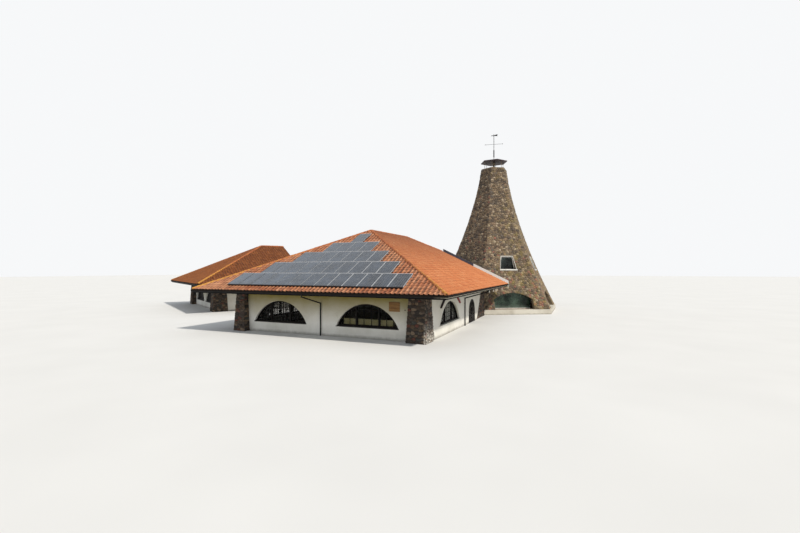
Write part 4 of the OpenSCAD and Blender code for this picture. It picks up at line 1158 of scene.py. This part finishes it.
def clothMaterial(name, dark, pale):
    material, place = startMaterial(name, 0.9)
    weave = addNode(place, "ShaderNodeTexWave", {"Vector": place, "Scale": 260.0, "Distortion": 0.6},
                    bands_direction="Z").outputs["Fac"]
    base = darken(ramp(noise(place, 5, 4, 0.6), [(0.3, dark), (0.7, pale)]), weave, 0.0, 0.86, 1.0)
    return finishMaterial(material, base, (weave, 0.0006, 0.4))


beigeCloth = clothMaterial("beige curtain cloth", colour(226, 214, 150), colour(244, 234, 184))
netCloth = clothMaterial("pale net cloth", colour(240, 242, 222), colour(252, 252, 240))


def archTop(width, x):
    # height of the inner edge of the frame over the sill
    radius = (width * width / 4 + lunette["height"] ** 2) / (2 * lunette["height"])
    inner = radius - lunette["frame"]
    return lunette["height"] - radius + math.sqrt(max(inner * inner - x * x, 0))


def glazeLunette(bars, sills, width, place, uprights, rows):
    # seen from outside, x runs to the right, y inwards and z up from the middle of the sill
    glass, half = lunette["glass"], lunette["bar"] / 2
    back, (outside, inside) = glass + lunette["thick"], lunette["barDepths"]
    reach, post, side = width / 2 - lunette["frame"], lunette["post"], lunette["postHalf"]
    bays = ((-reach, -post - side), (-post + side, post - side), (post + side, reach))
    layers = ((glass - outside, glass), (back, back + inside))
    for x in uprights:
        top = min(archTop(width, abs(x) - half), archTop(width, abs(x) + half))
        for near, far in layers:
            addBox(bars, (x - half, near, lunette["barFoot"]), (x + half, far, top + 0.01), place=place)
    for z in rows:
        for left, right in bays:
            span = [x for x in np.linspace(left, right, 60) if archTop(width, x) > z + half]
            if len(span) > 4:
                for near, far in layers:
                    addBox(bars, (span[0], near + 0.001, z - half), (span[-1], far - 0.001, z + half),
                           place=place)
    end, out = width / 2 + lunette["sillPast"], -lunette["sillOut"]
    low, high = lunette["sillTop"]
    addBox(sills, (-end, out, low), (end, lunette["set"], high), place=place)
    lip, low, high = lunette["sillDrip"]
    addBox(sills, (-end, out, low), (end, out + lip, high), place=place)


def wallPlace(x, y, turn, place=hallPlace):
    return place @ Matrix.Translation((x, y, lunette["sill"])) @ Matrix.Rotation(math.radians(turn), 4, "Z")


def evenBars(width, pitch):
    # upright bars at one pitch from the middle outwards, none on a post
    reach = width / 2 - lunette["endBay"]
    places = [pitch * (k + 0.5) for k in range(int(reach / pitch) + 1) if pitch * (k + 0.5) < reach]
    return [side * x for x in places for side in (-1, 1) if abs(x - lunette["post"]) > lunette["postClear"]]


hallBars, hallSills, paleSill, wingBars, wingSills = (emptyShape() for part in range(5))
width, sideWidth = lunette["width"], lunette["sideWidth"]
frontRight = wallPlace(hall["frontLunette"], hall["wallFront"], 0)
frontLeft = wallPlace(-hall["frontLunette"], hall["wallFront"], 0)
sideWindow = wallPlace(hall["wallRight"], hall["rightLunette"], 90)
frontBars, frontRows = (-0.93, -0.68, -0.142, 0.142, 0.7, 0.94), (0.53,)
sideBars, sideRows = (-0.9, -0.66, -0.13, 0.13, 0.66, 0.9), (0.2, 0.36, 0.52, 0.66)
evenPitch, evenRows = 0.14, (0.17, 0.32, 0.47, 0.62)
wingPitch, wingRows = 0.2, (0.24, 0.48)
glazeLunette(hallBars, hallSills, width, frontRight, frontBars, frontRows)
glazeLunette(hallBars, hallSills, width, frontLeft, evenBars(width, evenPitch), evenRows)
glazeLunette(hallBars, paleSill, sideWidth, sideWindow, sideBars, sideRows)
for y in hall["leftLunettes"]:
    leftWindow = wallPlace(hall["wallLeft"], y, -90)
    glazeLunette(hallBars, hallSills, sideWidth, leftWindow, evenBars(sideWidth, evenPitch), evenRows)
wingLunettes = [(x, wing["wallFront"], 0, wingPlace, width) for x in wing["lunettes"]]
wingLunettes += [(wing["wallRight"], wing["sideLunette"], 90, wingPlace, sideWidth),
                 (wing["wallLeft"], wing["sideLunette"], -90, wingPlace, sideWidth)]
wingLunettes += [(x, link["wallRear"], 180, hallPlace, width) for x in link["lunettes"]]
for x, y, turn, place, wide in wingLunettes:
    window = wallPlace(x, y, turn, place)
    glazeLunette(wingBars, wingSills, wide, window, evenBars(wide, wingPitch), wingRows)
makePiece("hall_window_bars", hallBars, [windowWood])
makePiece("hall_window_sills", hallSills, [sillMetal])
makePiece("right_window_sill", paleSill, [palePlaster])
makePiece("wing_window_bars", wingBars, [windowWood])
makePiece("wing_window_sills", wingSills, [sillMetal])


def hangCurtain(name, left, right, top, place, seed, cloth, full):
    # hung in waves from a rod, and fuller than its opening
    draw = np.random.default_rng(seed)
    steps = round((right - left) / curtain["step"])
    across = np.linspace(left, right, steps + 1)
    turn = draw.uniform(0, 6)
    swing = curtain["swing"] * full * (1 + 0.25 * np.sin(across * 9 + turn))
    wave = swing * np.sin(across / curtain["wave"] * 2 * math.pi + turn)
    shape = emptyShape()
    for z in np.linspace(curtain["foot"], top, 9):
        part = (top - z) / top
        for x, y in zip(across, wave):
            shape["points"].append(Vector((x, curtain["behind"] + y * (0.75 + 0.25 * part), z)))
    for row in range(8):
        for low in range(row * (steps + 1), row * (steps + 1) + steps):
            shape["faces"].append((low, low + 1, low + steps + 2, low + steps + 1))
    piece = makePiece(name, shape, [cloth], place=place, smoothAngle=180)


# left, right and top of each curtain, from the middle of the sill
frontBays = [(-0.95, -0.47, 0.26), (-0.38, 0.38, 0.26), (0.47, 0.95, 0.26)]
sideBays = [(-0.8, -0.47, 0.4), (-0.38, 0.38, 0.64), (0.47, 0.8, 0.4)]
rods = emptyShape()
behind, rod, past = curtain["behind"], curtain["rod"], curtain["rodPast"]
for place, bays in ((frontRight, frontBays), (sideWindow, sideBays)):
    for left, right, top in bays:
        addBox(rods, (left - past, behind - rod, top - rod), (right + past, behind + rod, top + rod),
               place=place)
makePiece("curtain_rods", rods, [sillMetal])
for name, bays, place, seed, cloth, full in (("curtain", frontBays, frontRight, 90, beigeCloth, 1.0),
                                             ("net_curtain", sideBays, sideWindow, 94, netCloth, 0.5)):
    for index, bay in enumerate(bays):
        hangCurtain(f"{name}_{index + 1}", *bay, place, seed + index, cloth, full)
print("windows glazed")

# The gutters' rolled rim and the straps that hold them
gutter = {
    "radius": 0.0335,
    "skin": 0.007,
    "back": 0.032,
    "bead": 0.009,
    "hook": 0.45,      # from strap to strap
    "firstHook": 0.3,
    "strap": 0.014,
    "proud": (0.0012, 0.0015),     # sideways and below the trough
    "end": 0.05,
}
gutterLevel = hall["eaveHeight"] - hall["deckThickness"] - 0.001


def strapProfile():
    # closed outline in (out, z) from the eave edge: the strap lies just proud of the trough
    outer, inner = [], []
    inside = gutter["radius"] - gutter["skin"]
    aside, below = gutter["proud"]
    for angle in np.linspace(0, -math.pi, 13):
        across, down = math.cos(angle), math.sin(angle)
        out = min(-gutter["back"] + gutter["radius"] * across, 0)
        proud = aside if out > -gutter["back"] else -aside
        outer.append((min(out + proud, 0), gutterLevel + gutter["radius"] * down - below))
        inner.append((min(-gutter["back"] + inside * across, 0), gutterLevel + inside * down))
    return outer + inner[::-1]


def addRun(shape, profile, corner, along, length, value, index=0):
    # sweeps a closed profile along a straight run of the eave
    outward = along.cross(up)
    rings = [[corner + along * distance + outward * out + up * z for out, z in profile]
             for distance in (0, length)]
    addLoft(shape, *rings, value, index)


def hangGutters(prefix, roof, place):
    half, depth = roof["halfWidth"], roof["depth"]
    reach, bead = half + gutter["end"], gutter["bead"]
    rim = [(out - bead, z + gutterLevel - bead) for out, z in reversed(circle(bead, 8))]
    runs = (("front", (-half, -half, 0), (1, 0, 0), 2 * half, [(-reach, -reach), (reach, -reach), (0, 0)]),
            ("right", (half, -half, 0), (0, 1, 0), depth,
             [(reach, -reach), (reach, depth), (0, depth), (0, 0)]),
            ("left", (-half, depth - half, 0), (0, -1, 0), depth,
             [(0, 0), (0, depth), (-reach, depth), (-reach, -reach)]))
    for side, corner, along, length, outline in runs:
        corner, along = Vector(corner), Vector(along)
        shape = emptyShape()
        addRun(shape, rim, corner, along, length, 0.6, 1)
        for distance in np.arange(gutter["firstHook"], length - 0.2, gutter["hook"]):
            addRun(shape, strapProfile(), corner + along * float(distance), along, gutter["strap"], 0.3)
        makePiece(f"{prefix}_gutter_{side}", shape, [darkMetal, gutterMetal], place=place,
                  outline=outline, smoothAngle=40)


hangGutters("hall", hall, hallPlace)
hangGutters("wing", wing, wingPlace)
print("gutters hung")

# Door leaves: a stile that follows the arch, rails, narrow panes in two columns, and a pull
leaf = {
    "middle": 2.025,
    "near": 3.899,
    "far": 3.925,
    "radius": 0.514,
    "spring": 0.445,
    "foot": 0.006,
    "stile": 0.062,
    "meeting": 0.05,
    "kick": 0.19,
    "bar": 0.016,
    "barsAt": (0.32, 0.58, 0.71, 0.83),
    "gap": 0.003,
    "hinge": (0.008, 0.06),           # radius and height
    "hingesAt": (0.06, 0.355),
    "pull": (0.02, 0.034, 0.40, 0.62),    # left and right from the gap, foot and top
    "pullFeet": (0.42, 0.59),
    "pullOut": (0.034, 0.022),
    "glassSet": 0.009,
}


def addPrism(shape, outline, near, far, toPoint, value=0.5, index=0):
    # a convex outline given twice, at two depths, with its sides closed
    rings = [[toPoint(a, b, deep) for a, b in outline] for deep in (far, near)]
    addLoft(shape, *rings, value, index)


def rectangle(left, low, right, high):
    return [(left, low), (right, low), (right, high), (left, high)]


def buildLeaf(name, side, body, replaced):
    shape = emptyShape()
    near, far = leaf["far"], leaf["near"]
    outer, inner = leaf["radius"], leaf["radius"] - leaf["stile"]
    gap, spring, foot, kick, half = leaf["gap"], leaf["spring"], leaf["foot"], leaf["kick"], leaf["bar"] / 2
    stileEnd = gap + leaf["meeting"]

    def toPoint(a, b, deep):
        # a runs from the middle of the doorway to the hinge, b up
        return Vector((deep, leaf["middle"] + side * a, b))

    def board(outline, front=near, back=far, index=0):
        addPrism(shape, outline[::side], front, back, toPoint, 0.5, index)

    def bar(left, low, right, high, push=0.0):
        board(rectangle(left, low, right, high), near + push, far - push)

    bar(inner, foot, outer, spring)
    bar(gap, foot, stileEnd, spring + math.sqrt(inner ** 2 - gap ** 2))
    bar(stileEnd, foot, inner, kick, -0.004)
    bar(stileEnd + 0.03, foot + 0.04, inner - 0.03, kick - 0.03, 0.003)
    bar(stileEnd, spring - 0.03, inner, spring + 0.02, -0.002)
    angles = np.linspace(0, math.pi / 2 - math.asin(gap / outer), 13)
    for first, second in zip(angles[:-1], angles[1:]):
        board([(outer * math.cos(first), spring + outer * math.sin(first)),
               (outer * math.cos(second), spring + outer * math.sin(second)),
               (max(inner * math.cos(second), gap), spring + inner * math.sin(second)),
               (inner * math.cos(first), spring + inner * math.sin(first))])
    centre = (stileEnd + inner) / 2
    top = spring + math.sqrt(inner ** 2 - centre ** 2)
    bar(centre - half, kick, centre + half, top + 0.004, -0.004)
    for z in leaf["barsAt"]:
        end = math.sqrt(max(inner ** 2 - max(z - spring, 0) ** 2, 0))
        bar(stileEnd, z - half, end + 0.004, z + half, -0.005)
    glassEdge = [(inner * math.cos(a), spring + inner * math.sin(a)) for a in angles[::3]]
    board([(gap + 0.01, kick), (inner, kick)] + glassEdge + [(gap + 0.01, spring + inner * 0.99)],
          near - leaf["glassSet"], far + leaf["glassSet"], 1)
    radius, tall = leaf["hinge"]
    for low in leaf["hingesAt"]:
        rings = [[toPoint(outer + 0.003 + a, z, near + 0.008 + b) for a, b in circle(radius, 12)][::-side]
                 for z in (low, low + tall)]
        addLoft(shape, *rings, 0.5, 2)
    left, right, low, high = leaf["pull"]
    front, back = (near + out for out in leaf["pullOut"])
    board(rectangle(gap + left, low, gap + right, high), front, back, 2)
    for z in leaf["pullFeet"]:
        board(rectangle(gap + left, z, gap + right, z + 0.012), back + 0.002, near - 0.001, 2)
    makePiece(name, shape, [doorWood, darkGlass, sillMetal], body, [replaced])


buildLeaf("front_leaf_joinery", -1, "front_door", "door_leaf_front")
buildLeaf("rear_leaf_joinery", 1, "rear_door", "door_leaf_rear")
print("door leaves built")

# White surrounds and sills of the tower windows, set on the leaning stone faces, and posts in the low arches
surround = {
    "sill": (0.035, 0.045, 0.045),     # past the opening, height, out
    "head": (0.014, 0.014, 0.026),
    "jamb": (0.016, 0.014, 0.026),     # width at the sill and at the head, out
    "sunk": 0.06,
}
archPost = {
    "posts": ((-1.0, 0.03, 0.5), (1.0, 0.03, 0.5), (-0.36, 0.014, 0.79), (0.36, 0.014, 0.79)),
    "arch": (0.965, 0.035),            # share of the width and drop of its inner edge
    "set": 0.19,
    "depths": (0.012, -0.05),
}
surrounds, posts = emptyShape(), emptyShape()


def trimFace(turn):
    onWall = towerFace(turn)
    forward, across, centre = (Vector(part) for part in towerAxes(turn))

    def facePoint(u, z, out):
        return Vector(onWall(np.array([u]), np.array([z]), np.array([out]))[0])

    def sashPoint(u, z, out):
        return centre + across * u + forward * out + up * z

    low, high, head = windowLow / 2, windowHigh / 2, sill + windowHeight
    past, tall, out = surround["sill"]
    board = rectangle(-low - past, sill - tall, low + past, sill)
    addPrism(surrounds, board, out, -surround["sunk"], facePoint)
    past, tall, out = surround["head"]
    board = rectangle(-high - past, head, high + past, head + tall)
    addPrism(surrounds, board, out, -surround["sunk"], facePoint)
    footWidth, headWidth, out = surround["jamb"]
    for side in (-1, 1):
        jamb = [(low, sill), (low + footWidth, sill), (high + headWidth, head), (high, head)]
        jamb = [(side * u, z) for u, z in jamb]
        addPrism(surrounds, jamb[::side], out, -surround["sunk"], facePoint)
    foot = tower["plinth"]
    deep = float(towerRadius(foot + tower["arch"][1])) * flatShare - archPost["set"]
    near, far = (deep + depth for depth in archPost["depths"])
    for u, half, tall in archPost["posts"]:
        addPrism(posts, rectangle(u - half, foot, u + half, foot + tall), near, far, sashPoint)
    arch = archOutline(*tower["arch"], foot)[2:]
    share, drop = archPost["arch"]
    for first, second in zip(arch[:-1], arch[1:]):
        inner = [(u * share, z - drop) for u, z in (second, first)]
        addPrism(posts, [first, second] + inner, near, far, sashPoint)


for turn in (-60, 0, 60):
    trimFace(turn)
makePiece("tower_window_surrounds", surrounds, [whiteFrame])
makePiece("tower_arch_posts", posts, [whiteFrame])
print("tower windows trimmed")

# Four small white lamps under the right eave, and a bell push beside the right pier
lamp = {
    "x": 4.865,
    "places": (1.15, 2.0, 2.6, 4.15),
    "rings": ((1.36, 1.405, 0.02), (1.405, 1.43, 0.012), (1.43, 1.448, 0.026)),    # foot, top and radius
    "sides": 14,
}
lamps = emptyShape()
for y in lamp["places"]:
    for low, high, radius in lamp["rings"]:
        rings = [[Vector((lamp["x"] + a, y + b, z)) for a, b in circle(radius, lamp["sides"])]
                 for z in (low, high)]
        addLoft(lamps, *rings)
makePiece("eave_lamps", lamps, [lampMetal], smoothAngle=40)
bell = {
    "plate": ((3.165, -3.812, 0.985), (3.195, -3.799, 1.02)),
    "button": ((3.174, -3.817, 0.996), (3.186, -3.811, 1.008)),
    "rounding": 0.002,
}
bellShape = emptyShape()
addBox(bellShape, *bell["plate"])
addBox(bellShape, *bell["button"], 0.2)
rounding = makePiece("bell_push", bellShape, [sillMetal]).modifiers.new("worn edges", "BEVEL")
rounding.width = bell["rounding"]
rounding.segments = 2
rounding.limit_method = "ANGLE"
print("lamps and bell fixed")

# Plain pale floor, white to the camera, and a soft studio light from the right
floorMesh = bpy.data.meshes.new("studio floor")
reach = 160
floorMesh.from_pydata([(-reach, -reach, 0), (reach, -reach, 0), (reach, reach, 0), (-reach, reach, 0)], [],
                      [(0, 1, 2, 3)])
studioFloor = bpy.data.objects.new("studio_floor", floorMesh)
scene.collection.objects.link(studioFloor)
studioFloor.location.z = -0.002
floorPaint, floorPlace = startMaterial("studio floor paint", 0.9)
floorTone = ramp(noise(floorPlace, 0.4, 2), [(0.3, colour(222, 221, 218)), (0.7, colour(226, 225, 222))])
floorMesh.materials.append(finishMaterial(floorPaint, floorTone))

# The backdrop that the camera sees, also through glass and mirrored in it, is plain white; the light comes
# from the blue sky above
studio = {"sky": (0.86, 0.92, 1.0, 1), "skyStrength": 0.51, "backdrop": (0.93, 0.94, 0.95, 1)}
world = bpy.data.worlds.new("studio world")
scene.world = world
world.use_nodes = True
sky = world.node_tree.nodes["Background"]
sky.inputs["Color"].default_value = studio["sky"]
sky.inputs["Strength"].default_value = studio["skyStrength"]
skyLight = sky.outputs["Background"]
backdrop = addNode(skyLight, "ShaderNodeBackground", {"Color": studio["backdrop"]}).outputs["Background"]
seen = addNode(skyLight, "ShaderNodeLightPath").outputs
shown = seen["Is Camera Ray"]
for ray in ("Is Glossy Ray", "Is Transmission Ray"):
    shown = mathNode("MAXIMUM", shown, seen[ray])
either = addNode(skyLight, "ShaderNodeMixShader", {0: shown, 1: skyLight, 2: backdrop})
plug(world.node_tree.nodes["World Output"].inputs["Surface"], either.outputs["Shader"])


def addSun(name, strength, softness, turn, height, tone):
    # softness, turn and height are angles in degrees
    light = bpy.data.lights.new(name, "SUN")
    light.energy = strength
    light.angle = math.radians(softness)
    light.color = tone
    holder = bpy.data.objects.new(name, light)
    scene.collection.objects.link(holder)
    turn, height = math.radians(turn), math.radians(height)
    level = math.cos(height)
    direction = Vector((math.cos(turn) * level, math.sin(turn) * level, math.sin(height)))
    holder.rotation_euler = direction.to_track_quat("Z", "Y").to_euler()


addSun("key light", 2.95, 3, -20, 48, (1.0, 0.95, 0.87))
addSun("fill light", 0.22, 60, -110, 35, (0.9, 0.95, 1.0))

view = {"lens": 18.92, "shift": 0.00395, "place": (8.348, -16.173, 2.297), "turn": 23.363}
camera = bpy.data.cameras.new("camera")
camera.lens = view["lens"]
camera.sensor_width = 36
camera.shift_y = view["shift"]
camera.clip_end = 400
viewer = bpy.data.objects.new("camera", camera)
scene.collection.objects.link(viewer)
viewer.location = view["place"]
viewer.rotation_euler = (math.radians(90), 0, math.radians(view["turn"]))
scene.camera = viewer
print("light and camera placed")
